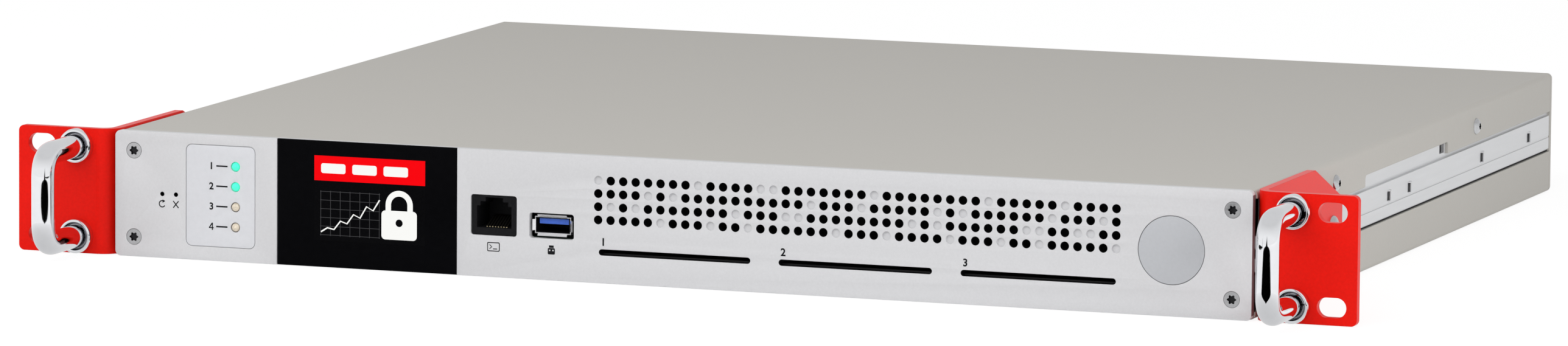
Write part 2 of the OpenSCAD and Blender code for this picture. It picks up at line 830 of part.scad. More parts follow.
module front_panel() {
    stud_d = 5;
    stud_in = 3.5;
    display_stud_d = 4;
    display_stud_in = 2.2;
    display_stud_up = 14;
    placed() color([0.83, 0.83, 0.84]) {
        difference() {
            union() {
                on_front(0, panel_t) panel_outline();
                for (x = [board_x0 + stud_in, board_x1 - stud_in], z = [-1, 1])
                    bore_y(x, zc + z * board_stud, panel_t - eps, board_gap + eps, stud_d);
                for (x = [-1, 1], z = [-1, 1])
                    bore_y(lens_x + x * (display_board_w / 2 - display_stud_in),
                        display_z + z * display_stud_up, panel_t - eps,
                        display_board_y - panel_t + eps, display_stud_d);
            }
            on_front(-1, 1 + vent_blind) vent_field(".");
            translate([lens_x - lens_w / 2 - inlay_gap, -1, -1])
                cube([lens_w + 2 * inlay_gap, 1 + lens_depth, panel_h + 2]);
            on_front(-1, 1 + inlay_sink + label_t) translate([label_x, label_z])
                rounded_rect(label_w + 2 * inlay_gap, label_h + 2 * inlay_gap, label_r + inlay_gap);
            bore_y(badge_x, badge_z, -1, 1 + inlay_sink + badge_t, badge_d + 2 * inlay_gap);
            panel_screw_places() flat_screw_hole(screw_d, screw_head, panel_t + 1);
        }
    }
}

module display_lens() {
    placed() color([0.05, 0.05, 0.06])
        on_front(lens_sink, lens_t) translate([lens_x, zc]) square([lens_w, panel_h], center = true);
}

module display_module() {
    placed() color([0.2, 0.22, 0.2]) {
        on_front(display_y, display_t) translate([lens_x, display_z])
            square([display_w, display_h], center = true);
        on_front(display_board_y, board_t) translate([lens_x, display_z])
            square([display_board_w, display_board_h], center = true);
    }
}

module led_label() {
    placed() color([0.86, 0.87, 0.88])
        on_front(inlay_sink, label_t) difference() {
            translate([label_x, label_z]) rounded_rect(label_w, label_h, label_r);
            for (z = led_z) translate([led_x, z]) circle(d = led_d + 2 * inlay_gap);
        }
}

module led(z) {
    r = led_d / 2;
    flange = 0.4;
    neck = 1;
    translate([led_x, 0, z]) {
        translate([0, r - led_proud, 0]) sphere(r = r);
        bore_y(0, 0, r - led_proud, panel_t + neck - r + led_proud, led_d);
        bore_y(0, 0, panel_t + neck - eps, board_gap - neck + eps, led_d + 2 * flange);
    }
}

module lit_leds() {
    placed() color([0.33, 0.96, 0.82]) for (k = [0, 1]) led(led_z[k]);
}

module clear_leds() {
    placed() color([0.9, 0.87, 0.8]) for (k = [2, 3]) led(led_z[k]);
}

module indicator_board() {
    placed() color([0.1, 0.3, 0.2])
        on_front(board_y, board_t)
            translate([(board_x0 + board_x1) / 2, zc])
                square([board_x1 - board_x0, indicator_h], center = true);
}

module switch_bodies() {
    placed() color([0.12, 0.12, 0.13]) for (x = pin_x) difference() {
        on_front(switch_y, switch_d) translate([x, pin_z]) square(switch_w, center = true);
        bore_y(x, pin_z, switch_y - 1, 1 + switch_d - switch_floor, button_d + 2 * button_gap);
    }
}

module button(x) {
    end_room = 0.3;
    l = board_y - switch_floor - button_travel - end_room - button_y;
    placed() color([0.3, 0.3, 0.32]) bore_y(x, pin_z, button_y, l, button_d);
}

module reset_button() {
    button(pin_x[0]);
}

module erase_button() {
    button(pin_x[1]);
}

module badge_disc() {
    placed() color([0.76, 0.77, 0.78]) bore_y(badge_x, badge_z, inlay_sink, badge_t, badge_d);
}

module panel_screws() {
    recess = 0.9;
    placed() color([0.8, 0.8, 0.8]) panel_screw_places()
        flat_screw(screw_d, screw_head, screw_len, recess);
}

module vent_baffle() {
    side = 6;
    x0 = vent_x - side;
    w = vent_end - vent_x + 2 * side;
    z0 = reader_top + 1.2;
    z1 = roof_z - 2;
    placed() color([0.08, 0.08, 0.09]) translate([x0, panel_t, z0]) difference() {
        cube([w, baffle_gap, z1 - z0]);
        translate([baffle_t, -1, -1]) cube([w - 2 * baffle_t, baffle_gap + 1 - baffle_t, panel_h]);
    }
}

// Ports behind the panel

module jack_body(w, h, d) {
    key_w = 10.2;
    key_h = 1.5;
    clip_w = 6.4;
    clip_h = 1.45;
    clip_d = 10;
    key_z = port_h - port_down;
    difference() {
        translate([-w / 2, 0, -h / 2]) cube([w, d, h]);
        translate([-port_w / 2, -1, -port_down]) cube([port_w, port_d + 1, port_h]);
        translate([-key_w / 2, -1, key_z - eps]) cube([key_w, port_d + 1, key_h + eps]);
        translate([-clip_w / 2, -1, key_z + key_h - eps]) cube([clip_w, clip_d + 1, clip_h + eps]);
    }
}

module jack_wires() {
    wires = 8;
    pitch = 1.02;
    w = 0.44;
    t = 0.4;
    start = 2.6;
    bend = 9.6;
    low = -port_down;
    high = low + 2.85;
    for (k = [0 : wires - 1]) translate([(k - (wires - 1) / 2) * pitch, 0, 0]) on_side(-w / 2, w)
        polygon([[start, low], [start + t, low], [bend, high], [port_d, high], [port_d, high + t],
            [bend - t / 2, high + t], [start, low + t / 2]]);
}

module console_jack() {
    placed() color([0.2, 0.2, 0.21]) translate([console_x, port_sink, console_z])
        jack_body(console_w - 2 * port_gap, console_jack_h, jack_d);
}

module usb_lip() {
    root = 0.3;
    out = 0.75;
    edge = 0.2;
    polygon([[root, -usb_t], [root, 0], [0, 0], [-out, out], [-out - edge, out - edge],
        [-edge / 2, -usb_t]]);
}

module usb_lips(w, h) {
    long_w = 10.6;
    short_w = 3.8;
    for (s = [-1, 1]) {
        translate([0, usb_y, usb_z + s * h / 2]) rotate([0, s < 0 ? 180 : 0, 0])
            on_side(-long_w / 2, long_w) usb_lip();
        translate([s * w / 2, usb_y, usb_z]) rotate([0, s * 90, 0])
            on_side(-short_w / 2, short_w) usb_lip();
    }
}

module usb_shell() {
    placed() color([0.78, 0.78, 0.8]) translate([usb_x, 0, 0]) {
        on_front(usb_y, usb_len) translate([0, usb_z]) difference() {
            square([usb_shell_w, usb_shell_h], center = true);
            square([usb_shell_w - 2 * usb_t, usb_shell_h - 2 * usb_t], center = true);
        }
        usb_lips(usb_shell_w, usb_shell_h);
    }
}

module usb_tongue() {
    tongue_w = 10.6;
    tongue_h = 1.85;
    tongue_up = 0.3;
    tongue_in = 1.3;
    foot_d = 4;
    base_w = 12;
    base_d = 12;
    base_in = 2;
    base_z = usb_z - usb_shell_h / 2;
    inner_w = usb_shell_w - 2 * usb_t;
    inner_h = usb_shell_h - 2 * usb_t;
    placed() color([0.12, 0.3, 0.75]) {
        translate([usb_x - tongue_w / 2, usb_y + tongue_in, usb_z + tongue_up])
            cube([tongue_w, usb_len - foot_d, tongue_h]);
        translate([usb_x - inner_w / 2, usb_y + usb_len - foot_d, usb_z - inner_h / 2])
            cube([inner_w, foot_d, inner_h]);
        translate([usb_x - base_w / 2, panel_t + base_in, port_board_z])
            cube([base_w, base_d, base_z - port_board_z]);
    }
}

module port_board() {
    placed() color([0.1, 0.3, 0.2])
        translate([port_board_x - port_board_w / 2, panel_t + port_board_gap, port_board_z - board_t])
            cube([port_board_w, port_board_d, board_t]);
}

module card_reader(k) {
    stop = 6;
    side = (reader_w - card_w) / 2;
    low = slot_z - reader_gap / 2;
    gap_h = reader_gap - 2 * plate_gap;
    placed() color([0.16, 0.16, 0.18]) translate([slot_x + k * slot_pitch - reader_w / 2, reader_y, 0]) {
        translate([0, 0, floor_z]) cube([reader_w, reader_d, low - floor_z]);
        translate([0, 0, low + plate_gap]) cube([side, reader_d, gap_h]);
        translate([reader_w - side, 0, low + plate_gap]) cube([side, reader_d, gap_h]);
        translate([side + plate_gap, reader_d - stop, low + plate_gap])
            cube([card_w - 2 * plate_gap, stop, gap_h]);
        translate([0, 0, low + reader_gap]) cube([reader_w, reader_d, reader_lid]);
    }
}

module card_reader_1() {
    card_reader(0);
}

module card_reader_2() {
    card_reader(1);
}

module card_reader_3() {
    card_reader(2);
}

// Ears and handles

module ear() {
    bend_x = side_x + ear_r;
    bend_y = ear_back + ear_r;
    chamfer = (panel_h - ear_rear_h) / 2;
    difference() {
        union() {
            on_front(ear_back, ear_t) difference() {
                union() {
                    translate([bend_x, 0]) square([ear_x - bend_x - ear_corner, panel_h]);
                    translate([bend_x, ear_corner]) square([ear_x - bend_x, panel_h - 2 * ear_corner]);
                    for (z = [ear_corner, panel_h - ear_corner])
                        translate([ear_x - ear_corner, z]) circle(r = ear_corner);
                }
                for (z = [-1, 1]) translate([rack_slot_x, zc + z * rack_pitch_z / 2])
                    slot_shape(rack_slot_w, rack_slot_h);
            }
            translate([bend_x, bend_y, 0]) rotate(180) rotate_extrude(angle = 90)
                translate([ear_r - ear_t, 0]) square([ear_t, panel_h]);
            on_side(side_x, ear_t) polygon([[bend_y, 0], [ear_top, 0], [ear_reach, chamfer],
                [ear_reach, panel_h - chamfer], [ear_top, panel_h], [bend_y, panel_h]]);
        }
        for (z = handle_z) bore_y(handle_x, z, -1, ear_back + ear_t + 2, handle_screw_d + hole_slip);
        for (p = ear_screws_at) bore_x(side_x - 1, p[0], p[1], ear_t + 2, ear_screw_d + hole_slip);
    }
}

module right_ear() {
    placed() color([0.85, 0.1, 0.07]) ear();
}

module left_ear() {
    placed() color([0.85, 0.1, 0.07]) mirror([1, 0, 0]) ear();
}

module handle() {
    bar_y = ear_back - handle_reach;
    leg = handle_reach - handle_r;
    translate([handle_x, 0, 0]) difference() {
        union() {
            translate([0, bar_y, handle_z[0] + handle_r])
                cylinder(d = handle_d, h = handle_pitch - 2 * handle_r);
            for (z = handle_z) bore_y(0, z, bar_y + handle_r, leg, handle_d);
            translate([0, bar_y + handle_r, handle_z[1] - handle_r]) rotate([0, -90, 0]) rotate([0, 0, -90])
                rotate_extrude(angle = 90) translate([handle_r, 0]) circle(d = handle_d);
            translate([0, bar_y + handle_r, handle_z[0] + handle_r]) rotate([0, -90, 0]) rotate([0, 0, 180])
                rotate_extrude(angle = 90) translate([handle_r, 0]) circle(d = handle_d);
        }
        for (z = handle_z)
            bore_y(0, z, ear_back - handle_thread - 2, handle_thread + 3, handle_screw_d + 2 * shank_gap);
    }
}

module right_handle() {
    placed() color([0.85, 0.85, 0.87]) handle();
}

module left_handle() {
    placed() color([0.85, 0.85, 0.87]) mirror([1, 0, 0]) handle();
}

module handle_ferrules() {
    r = ferrule_d / 2;
    b = handle_d / 2 + ferrule_gap;
    wall = r - b;
    low = ferrule_h * 0.4;
    fall = wall * 0.4;
    edge = r - wall * 0.26;
    rim = r - wall * 0.53;
    foot = b + wall * 0.16;
    placed() color([0.8, 0.8, 0.82]) both_sides() for (z = handle_z) facing_front(handle_x, ear_back, z)
        rotate_extrude() polygon([[b, 0], [r, 0], [r, ferrule_h - fall], [edge, ferrule_h], [rim, ferrule_h],
            [foot, low], [b, low]]);
}

module handle_screws() {
    placed() color([0.7, 0.7, 0.72]) both_sides() for (z = handle_z)
        facing_rear(handle_x, ear_back + ear_t, z)
            dome_screw(handle_screw_d, handle_screw_head, ear_screw_cap, ear_t + handle_thread);
}

module ear_screws() {
    placed() color([0.75, 0.75, 0.77]) both_sides() for (p = ear_screws_at)
        facing_right(side_x + ear_t, p[0], p[1])
            dome_screw(ear_screw_d, ear_screw_head, ear_screw_cap, ear_t + cover_t + frame_t + 2);
}

// Chassis sheets

module base_screw_places() {
    for (y = cover_screws_at) translate([frame_x - base_screw_in, y, 0]) rotate([180, 0, 0]) children();
}

module frame_outline(w) {
    r = cover_r - cover_t + seam;
    translate([frame_x - w, floor_z]) square([w - r, roof_z - floor_z]);
    translate([frame_x - w, floor_z + r]) square([w, roof_z - floor_z - 2 * r]);
    for (z = [floor_z + r, roof_z - r]) translate([frame_x - r, z]) circle(r = r);
}

module end_gap_cut() {
    translate([frame_x - end_gap_in, panel_t - 1, floor_z + end_gap_edge])
        cube([end_gap_in + cover_t + 1, end_gap + 1, roof_z - floor_z - 2 * end_gap_edge]);
}

module lance_slits(x, depth, l) {
    for (y = lances) translate([x, y, rail_z - lance_down]) cube([depth, l, lance_h]);
}

module side_frame() {
    d = ear_screw_d + 2 * shank_gap;
    lug_z = zc + lug_up - lug_h / 2;
    hole_edge = 0.5;
    hole_y = relief_start + relief_len - relief_r - relief_hole;
    for (z = [-lug_pitch / 2, lug_pitch / 2]) translate([frame_x - end_gap_in - 1, panel_t, lug_z + z])
        cube([end_gap_in + 1 + cover_t, lug_d, lug_h]);
    difference() {
        union() {
            on_front(panel_t, rear_y - panel_t) difference() {
                frame_outline(frame_flange);
                translate([frame_in - frame_flange, floor_z + frame_t])
                    square([frame_flange, roof_z - floor_z - 2 * frame_t]);
            }
            for (y = [panel_t, rear_y - tab_t]) on_front(y, tab_t) frame_outline(frame_tab);
        }
        end_gap_cut();
        lance_slits(frame_in - 1, frame_t + 2, lance_slit + lance_r);
        translate([frame_in - 1, hole_y, zc + top_edge + hole_edge])
            cube([frame_t + 2, relief_hole, relief_h - 2 * hole_edge]);
        for (p = ear_screws_at) bore_x(frame_in - 1, p[0], p[1], frame_t + 2, d);
        for (y = cover_screws_at) bore_x(frame_in - 1, y, zc + cover_screw_up, frame_t + 2,
            cover_screw_d + 2 * shank_gap);
        for (y = [panel_t - 1, rear_y - tab_t - 1], z = [-1, 1])
            bore_y(panel_w / 2 - screw_in, zc + z * screw_up, y, tab_t + 2, screw_d + 2 * shank_gap);
        base_screw_places() flat_screw_hole(base_screw_d, base_screw_head, cover_t + frame_t + 1);
    }
}

module right_side_frame() {
    placed() color([0.84, 0.85, 0.86]) side_frame();
}

module left_side_frame() {
    placed() color([0.84, 0.85, 0.86]) mirror([1, 0, 0]) side_frame();
}

module cover_profile(z0) {
    difference() {
        top_rounded(chassis_w, z0, cover_top, cover_r);
        top_rounded(chassis_w - 2 * cover_t, z0 - 1, cover_top - cover_t, cover_r - cover_t);
    }
}

module side_holes() {
    both_sides() for (p = ear_screws_at)
        bore_x(side_x - cover_t - 1, p[0], p[1], cover_t + 2, ear_screw_d + hole_slip);
}

module top_cover() {
    y0 = panel_t + seam;
    l = rear_y - seam - y0;
    edge = zc + top_edge;
    notch_z = roof_z - 3;
    placed() color([0.73, 0.72, 0.7]) difference() {
        on_front(y0, l) cover_profile(edge);
        side_holes();
        both_sides() for (y = cover_screws_at)
            bore_x(frame_x - 1, y, zc + cover_screw_up, cover_t + 2, cover_screw_d + hole_slip);
        both_sides() end_gap_cut();
        both_sides() on_side(frame_x - eps, cover_t + 1) {
            translate([relief_start, edge - 1]) square([relief_len, relief_h + 1 - relief_r]);
            translate([relief_start + relief_r, edge - 1]) square([relief_len - 2 * relief_r, relief_h + 1]);
            for (y = [relief_start + relief_r, relief_start + relief_len - relief_r])
                translate([y, edge + relief_h - relief_r]) circle(r = relief_r);
        }
        both_sides() translate([side_x - notch_w, y0 - 1, notch_z])
            cube([notch_w + 1, 1 + notch_d, cover_top + 1 - notch_z]);
        translate([lens_x + lens_notch_dx - lens_notch_w / 2, y0 - 1, roof_z - 1])
            cube([lens_notch_w, 1 + notch_d, cover_t + 2]);
    }
}

module bottom_cover() {
    y0 = panel_t + seam;
    l = rear_y - seam - y0;
    placed() color([0.73, 0.72, 0.7]) difference() {
        translate([0, 0, cover_top]) mirror([0, 0, 1]) on_front(y0, l)
            cover_profile(cover_top - zc + bottom_edge);
        side_holes();
        both_sides() end_gap_cut();
        both_sides() base_screw_places()
            flat_screw_hole(base_screw_d, base_screw_head, cover_t + frame_t + 1);
    }
}

module cover_screws() {
    recess = 0.7;
    base_l = cover_t + frame_t + 1;
    placed() color([0.75, 0.75, 0.77]) both_sides() {
        for (y = cover_screws_at) facing_right(side_x, y, zc + cover_screw_up)
            dome_screw(cover_screw_d, cover_screw_head, cover_screw_cap, cover_t + frame_t + 1);
        base_screw_places() flat_screw(base_screw_d, base_screw_head, base_l, recess);
    }
}

module rail() {
    difference() {
        union() {
            on_side(frame_x, rail_t) translate([rail_start, rail_z - rail_h / 2])
                square([chassis_d - rail_end - rail_start, rail_h]);
            for (y = lances) intersection() {
                translate([frame_x + rail_t - lance_sink, y + lance_gap, rail_z - lance_down - lance_t])
                    cylinder(r = lance_r, h = lance_h + 2 * lance_t);
                translate([frame_x + rail_t / 2, y, rail_z - lance_down - lance_t])
                    cube([rail_t + lance_r, 3 * lance_r, lance_h + 2 * lance_t]);
            }
        }
        lance_slits(frame_x - 1, rail_t + lance_r + 2, lance_slit);
        for (y = lances) translate([frame_x + rail_t - lance_sink, y + lance_gap, rail_z - lance_down])
            cylinder(r = lance_r - lance_t, h = lance_h);
        translate([frame_x + rail_t - groove_d, rail_start - 1, rail_z - groove_down])
            cube([1, chassis_d, groove_h]);
    }
}

module right_rail() {
    placed() color([0.85, 0.86, 0.87]) rail();
}

module left_rail() {
    placed() color([0.85, 0.86, 0.87]) mirror([1, 0, 0]) rail();
}

module fan_grille() {
    ring = (fan_bore - grille_d) / 6;
    circle(d = grille_d);
    for (k = [1 : 3], a = [0 : 360 / (6 * k) : 359])
        rotate(a) translate([k * ring, 0]) circle(d = grille_d);
}

module rear_screw_places() {
    for (x = [-1, 1], z = [-1, 1])
        facing_rear(x * (panel_w / 2 - screw_in), chassis_d, zc + z * screw_up) children();
}

module fan_screw_places() {
    for (x = fan_x, a = [-1, 1], b = [-1, 1])
        facing_rear(x + a * fan_hole, chassis_d, fan_z + b * fan_hole) children();
}

module rear_panel() {
    hole = screw_d + hole_slip;
    placed() color([0.75, 0.74, 0.72]) difference() {
        on_front(rear_y, rear_t) difference() {
            translate([0, cover_top / 2]) rounded_rect(chassis_w, cover_top, cover_r);
            for (x = psu_x) translate([x, psu_zc])
                square([psu_w + 2 * psu_slip, psu_h + 2 * psu_slip], center = true);
            for (x = fan_x) translate([x, fan_z]) fan_grille();
            for (x = jack_x) translate([x, jack_z])
                square([jack_w + 2 * port_gap, jack_h + 2 * port_gap], center = true);
        }
        rear_screw_places() translate([0, 0, -rear_t - 1]) cylinder(d = hole, h = rear_t + 2);
        fan_screw_places() translate([0, 0, -rear_t - 1]) cylinder(d = hole, h = rear_t + 2);
    }
}

module rear_screws() {
    placed() color([0.72, 0.72, 0.74]) {
        rear_screw_places() dome_screw(screw_d, cover_screw_head, cover_screw_cap, rear_t + tab_t);
        fan_screw_places() dome_screw(screw_d, cover_screw_head, cover_screw_cap, rear_t + fan_thread);
    }
}

// Electronics

module main_board() {
    memory = [9, 12, 1.2];
    memory_x = sink_x + 6;
    memory_y = sink_y + sink_d + 14;
    memory_pitch = 14;
    logic = [18, 18, 2];
    logic_x = module_x + 10;
    logic_y = module_y + module_d + 16;
    logic_pitch = 28;
    placed() color([0.08, 0.28, 0.18]) translate([0, 0, main_z]) linear_extrude(board_t)
        polygon([[main_x0, main_y0], [main_x1, main_y0], [main_x1, main_y1], [main_neck, main_y1],
            [main_neck, rear_y - 1], [main_x0, rear_y - 1]]);
    placed() color([0.1, 0.1, 0.11]) {
        for (k = [0 : 3]) translate([memory_x + k * memory_pitch, memory_y, main_top]) cube(memory);
        for (k = [0 : 2]) translate([logic_x + k * logic_pitch, logic_y, main_top]) cube(logic);
    }
}

module board_standoffs() {
    d = 6;
    edge = 5;
    rear_edge = 6;
    port_edge = 4;
    port_front = 8;
    placed() color([0.8, 0.75, 0.5]) {
        for (x = [main_x0 + edge, main_x1 - edge], y = [main_y0 + edge, main_y1 - rear_edge])
            translate([x, y, floor_z]) cylinder(d = d, h = main_up, $fn = 6);
        for (x = [-1, 1], y = [port_front, port_board_d - port_edge])
            translate([port_board_x + x * (port_board_w / 2 - port_edge), panel_t + y, floor_z])
                cylinder(d = d, h = port_board_z - board_t - floor_z, $fn = 6);
    }
}

module security_module() {
    groove_edge = module_d / 10;
    grooves = 8;
    pitch = (module_w - 2 * groove_edge) / (grooves - 0.5);
    placed() color([0.7, 0.71, 0.72]) translate([module_x, module_y, main_top]) {
        difference() {
            cube([module_w, module_d, module_h]);
            for (k = [0 : grooves - 1])
                translate([groove_edge + k * pitch, groove_edge, module_h - module_groove])
                    cube([pitch / 2, module_d - 2 * groove_edge, module_groove + 1]);
        }
    }
}

module processor_heatsink() {
    pitch = (sink_w - fin_t) / (fins - 1);
    lid = sink_w / 2;
    placed() color([0.6, 0.61, 0.63]) translate([sink_x, sink_y, main_top]) {
        translate([(sink_w - lid) / 2, (sink_d - lid) / 2, 0]) cube([lid, lid, lid_h]);
        translate([0, 0, lid_h]) cube([sink_w, sink_d, sink_base]);
        for (k = [0 : fins - 1]) translate([k * pitch, 0, lid_h + sink_base - eps])
            cube([fin_t, sink_d, fin_h]);
    }
}

module backup_battery() {
    x = main_x1 - 30;
    y = main_y0 + front_row;
    end = 2;
    slip = 0.1;
    holder_w = battery_d + 3;
    holder_h = battery_d * 0.45;
    axis_z = battery_d / 2 + 0.8;
    placed() color([0.2, 0.35, 0.55]) {
        translate([x, y, main_top]) difference() {
            cube([battery_l + 2 * end, holder_w, holder_h]);
            translate([end, holder_w / 2, axis_z]) rotate([0, 90, 0])
                cylinder(d = battery_d + 2 * slip, h = battery_l);
        }
        translate([x + end + slip, y + holder_w / 2, main_top + axis_z]) rotate([0, 90, 0])
            cylinder(d = battery_d, h = battery_l - 2 * slip);
    }
}

module ribbon(x, y0, z0, w) {
    up = main_top + ribbon_up;
    bend = 9;
    slope = 13;
    plug = 5;
    skew = 0.4;
    y1 = main_y0 + 2;
    placed() color([0.55, 0.56, 0.58])
        on_side(x - w / 2, w) polygon([[y0, z0], [y0 + bend, z0], [y0 + bend + slope, up], [y1, up],
            [y1, main_top], [y1 + plug, main_top], [y1 + plug, up + ribbon_t],
            [y0 + bend + slope - skew, up + ribbon_t], [y0 + bend - skew, z0 + ribbon_t],
            [y0, z0 + ribbon_t]]);
}

module ribbon_cables() {
    port_end = panel_t + port_board_gap + port_board_d;
    ribbon((board_x0 + board_x1) / 2, board_y + board_t, zc - ribbon_down, ribbon_w1);
    ribbon(lens_x, display_board_y + board_t, zc - ribbon_down, ribbon_w2);
    ribbon(port_board_x, port_end, port_board_z - (board_t + ribbon_t) / 2, ribbon_w3);
}

module power_backplane() {
    placed() color([0.08, 0.28, 0.18]) translate([cage_left + cage_t, backplane_y, floor_z])
        cube([cage_right - cage_left - 2 * cage_t, backplane_t, backplane_h]);
    placed() color([0.12, 0.12, 0.13]) for (x = psu_x)
        translate([x - plug_w / 2, backplane_y + backplane_t, psu_zc - plug_h / 2])
            cube([plug_w, plug_d, plug_h]);
}

module psu_cage() {
    top_gap = 0.6;
    h = roof_z - floor_z - top_gap;
    l = rear_y - cage_y;
    placed() color([0.8, 0.81, 0.82]) {
        translate([cage_left, cage_y, floor_z]) cube([cage_right - cage_left, l, cage_floor]);
        for (x = [cage_left, psu_x[0] + psu_w / 2 + psu_gap, cage_right - cage_t])
            translate([x, cage_y, floor_z]) cube([cage_t, l, h]);
    }
}

module network_jacks() {
    placed() color([0.6, 0.61, 0.63]) for (x = jack_x) translate([x, jack_y, jack_z]) rotate(180)
        jack_body(jack_w, jack_h, jack_d);
}

module jack_contacts() {
    placed() color([0.85, 0.68, 0.3]) {
        translate([console_x, port_sink, console_z]) jack_wires();
        for (x = jack_x) translate([x, jack_y, jack_z]) rotate(180) jack_wires();
    }
}

// Fans

module fan_frame(k) {
    bush = shaft_d + 2 * running_gap;
    boss_d = shaft_d + 4;
    plate_y = rear_y - hub_t;
    boss_y = plate_y - boss_l;
    strut_w = 2;
    strut_l = (fan_bore - hub_d) / 2 + 2;
    corner = 3;
    placed() color([0.1, 0.1, 0.11]) translate([fan_x[k], 0, fan_z]) difference() {
        union() {
            difference() {
                on_front(fan_y, fan_d) rounded_rect(fan_w, fan_w, corner);
                bore_y(0, 0, fan_y - 1, fan_d + 2, fan_bore);
            }
            bore_y(0, 0, plate_y, hub_t, hub_d);
            for (a = [45 : 90 : 315])
                rotate([0, a, 0]) translate([hub_d / 2 - 1, plate_y, -strut_w / 2])
                    cube([strut_l, hub_t, strut_w]);
            bore_y(0, 0, boss_y, boss_l + 1, boss_d);
        }
        bore_y(0, 0, boss_y - 1, 1 + boss_l + hub_t - hub_end, bush);
        for (a = [-1, 1], b = [-1, 1])
            bore_y(a * fan_hole, b * fan_hole, rear_y - fan_thread - 1, fan_thread + 2,
                screw_d + 2 * shank_gap);
    }
}

module blade(r0, r1, l) {
    bend = 18;
    lead = bend * 0.86;
    reach = bend * 1.3;
    low = -l * 0.75;
    high = l * 0.6;
    intersection() {
        translate([0, 0, r0]) linear_extrude(r1) translate([-lead, l / 2])
            intersection() {
                difference() {
                    circle(r = bend + blade_t / 2);
                    circle(r = bend - blade_t / 2);
                }
                polygon([[0, 0], [reach, low], [reach, high]]);
            }
        translate([0, -2 * l, 0]) rotate([-90, 0, 0]) cylinder(r = r1, h = 5 * l);
    }
}

module fan_rotor(k) {
    hub_gap = 1;
    shaft_room = 0.5;
    cup_t = 1.5;
    cup_floor = 3;
    blade_short = 4;
    hub_l = fan_d - rotor_in - hub_t - hub_gap;
    shaft_l = fan_d - rotor_in - hub_end - shaft_room - cup_floor + 1;
    tip = fan_bore / 2 - blade_gap;
    placed() color([0.14, 0.14, 0.15]) translate([fan_x[k], fan_y + rotor_in, fan_z]) {
        difference() {
            bore_y(0, 0, 0, hub_l, hub_d);
            bore_y(0, 0, cup_floor, fan_d, hub_d - 2 * cup_t);
        }
        bore_y(0, 0, cup_floor - 1, shaft_l, shaft_d);
        for (a = [0 : 360 / blades : 359])
            rotate([0, a, 0]) translate([0, 1, 0]) blade(hub_d / 2 - 1, tip, hub_l - blade_short);
    }
}

module fan_frame_1() {
    fan_frame(0);
}

module fan_frame_2() {
    fan_frame(1);
}

module fan_frame_3() {
    fan_frame(2);
}

module fan_rotor_1() {
    fan_rotor(0);
}

module fan_rotor_2() {
    fan_rotor(1);
}

module fan_rotor_3() {
    fan_rotor(2);
}

// Power supplies

module psu_case(k) {
    pocket_x = psu_w / 2 - pocket_w;
    pocket_l = latch_in + 4;
    pocket_h = latch_h + 2 * pocket_gap;
    bail_lug_h = 6.4;
    bail_lug_out = 2.9;
    lug_x = bail_w / 2 + bail_lug_gap + bail_lug_w / 2;
    inlet_slip = 0.2;
    placed() color([0.62, 0.63, 0.65]) translate([psu_x[k], 0, 0]) {
        difference() {
            union() {
                difference() {
                    translate([-psu_w / 2, psu_y, psu_z]) cube([psu_w, psu_l, psu_h]);
                    translate([-psu_w / 2 + psu_t, psu_y + psu_t, psu_z + psu_t])
                        cube([psu_w - 2 * psu_t, psu_l - 2 * psu_t, psu_h - 2 * psu_t]);
                }
                translate([pocket_x - psu_t, chassis_d - pocket_l - psu_t, latch_z - pocket_h / 2 - psu_t])
                    cube([pocket_w + psu_t, pocket_l + psu_t, pocket_h + 2 * psu_t]);
                on_front(chassis_d, psu_face) translate([0, psu_zc])
                    square([psu_w + 2 * psu_lip, psu_h + 2 * psu_lip], center = true);
                for (s = [-1, 1])
                    translate([bail_dx + s * lug_x - bail_lug_w / 2, face_y - eps, bail_z - bail_lug_h / 2])
                        cube([bail_lug_w, bail_out + bail_lug_out, bail_lug_h]);
            }
            translate([pocket_x, chassis_d - pocket_l, latch_z - pocket_h / 2])
                cube([pocket_w + 1, pocket_l, pocket_h]);
            translate([pocket_x, chassis_d - 1, latch_z - pocket_h / 2])
                cube([pocket_w - 1, psu_face + 2, pocket_h]);
            translate([inlet_dx, 0, psu_zc]) on_front(chassis_d - psu_t - 1, psu_t + psu_face + 2)
                square([inlet_w + 2 * inlet_slip, inlet_h + 2 * inlet_slip], center = true);
            for (i = [-2 : 2], j = [-3 : 3]) bore_y(bail_dx + i * psu_vent_pitch,
                psu_zc + j * psu_vent_pitch, chassis_d - psu_t - 1, psu_t + psu_face + 2, psu_vent_d);
            bore_x(bail_dx - lug_x - bail_lug_w, bail_y, bail_z, 2 * (lug_x + bail_lug_w),
                bail_pin + 2 * running_gap);
        }
        translate([latch_dx, chassis_d - latch_in, latch_z - pocket_h / 2 - eps])
            cylinder(d = latch_pin, h = pocket_h + 2 * eps);
    }
}

module psu_inlet(k) {
    y1 = face_y + inlet_rim;
    flange = 1.5;
    back = 3;
    slope = 4.5;
    pin_w = 2;
    pin_h = 4;
    pin_short = 2.5;
    pins = [[-7, -2], [7, -2], [0, 2]];
    placed() color([0.07, 0.07, 0.08]) translate([psu_x[k] + inlet_dx, 0, psu_zc]) {
        difference() {
            union() {
                on_front(face_y, inlet_rim) rounded_rect(inlet_w + 2 * flange, inlet_h + 2 * flange, flange);
                on_front(y1 - socket_d - back, socket_d + back) square([inlet_w, inlet_h], center = true);
            }
            on_front(y1 - socket_d, socket_d + 1) polygon([[-socket_w / 2, -socket_h / 2],
                [socket_w / 2, -socket_h / 2], [socket_w / 2, socket_h / 2 - slope],
                [socket_w / 2 - slope, socket_h / 2], [-socket_w / 2 + slope, socket_h / 2],
                [-socket_w / 2, socket_h / 2 - slope]]);
        }
        for (p = pins) translate([p[0] - pin_w / 2, y1 - socket_d, p[1] - pin_h / 2])
            cube([pin_w, socket_d - pin_short, pin_h]);
    }
}

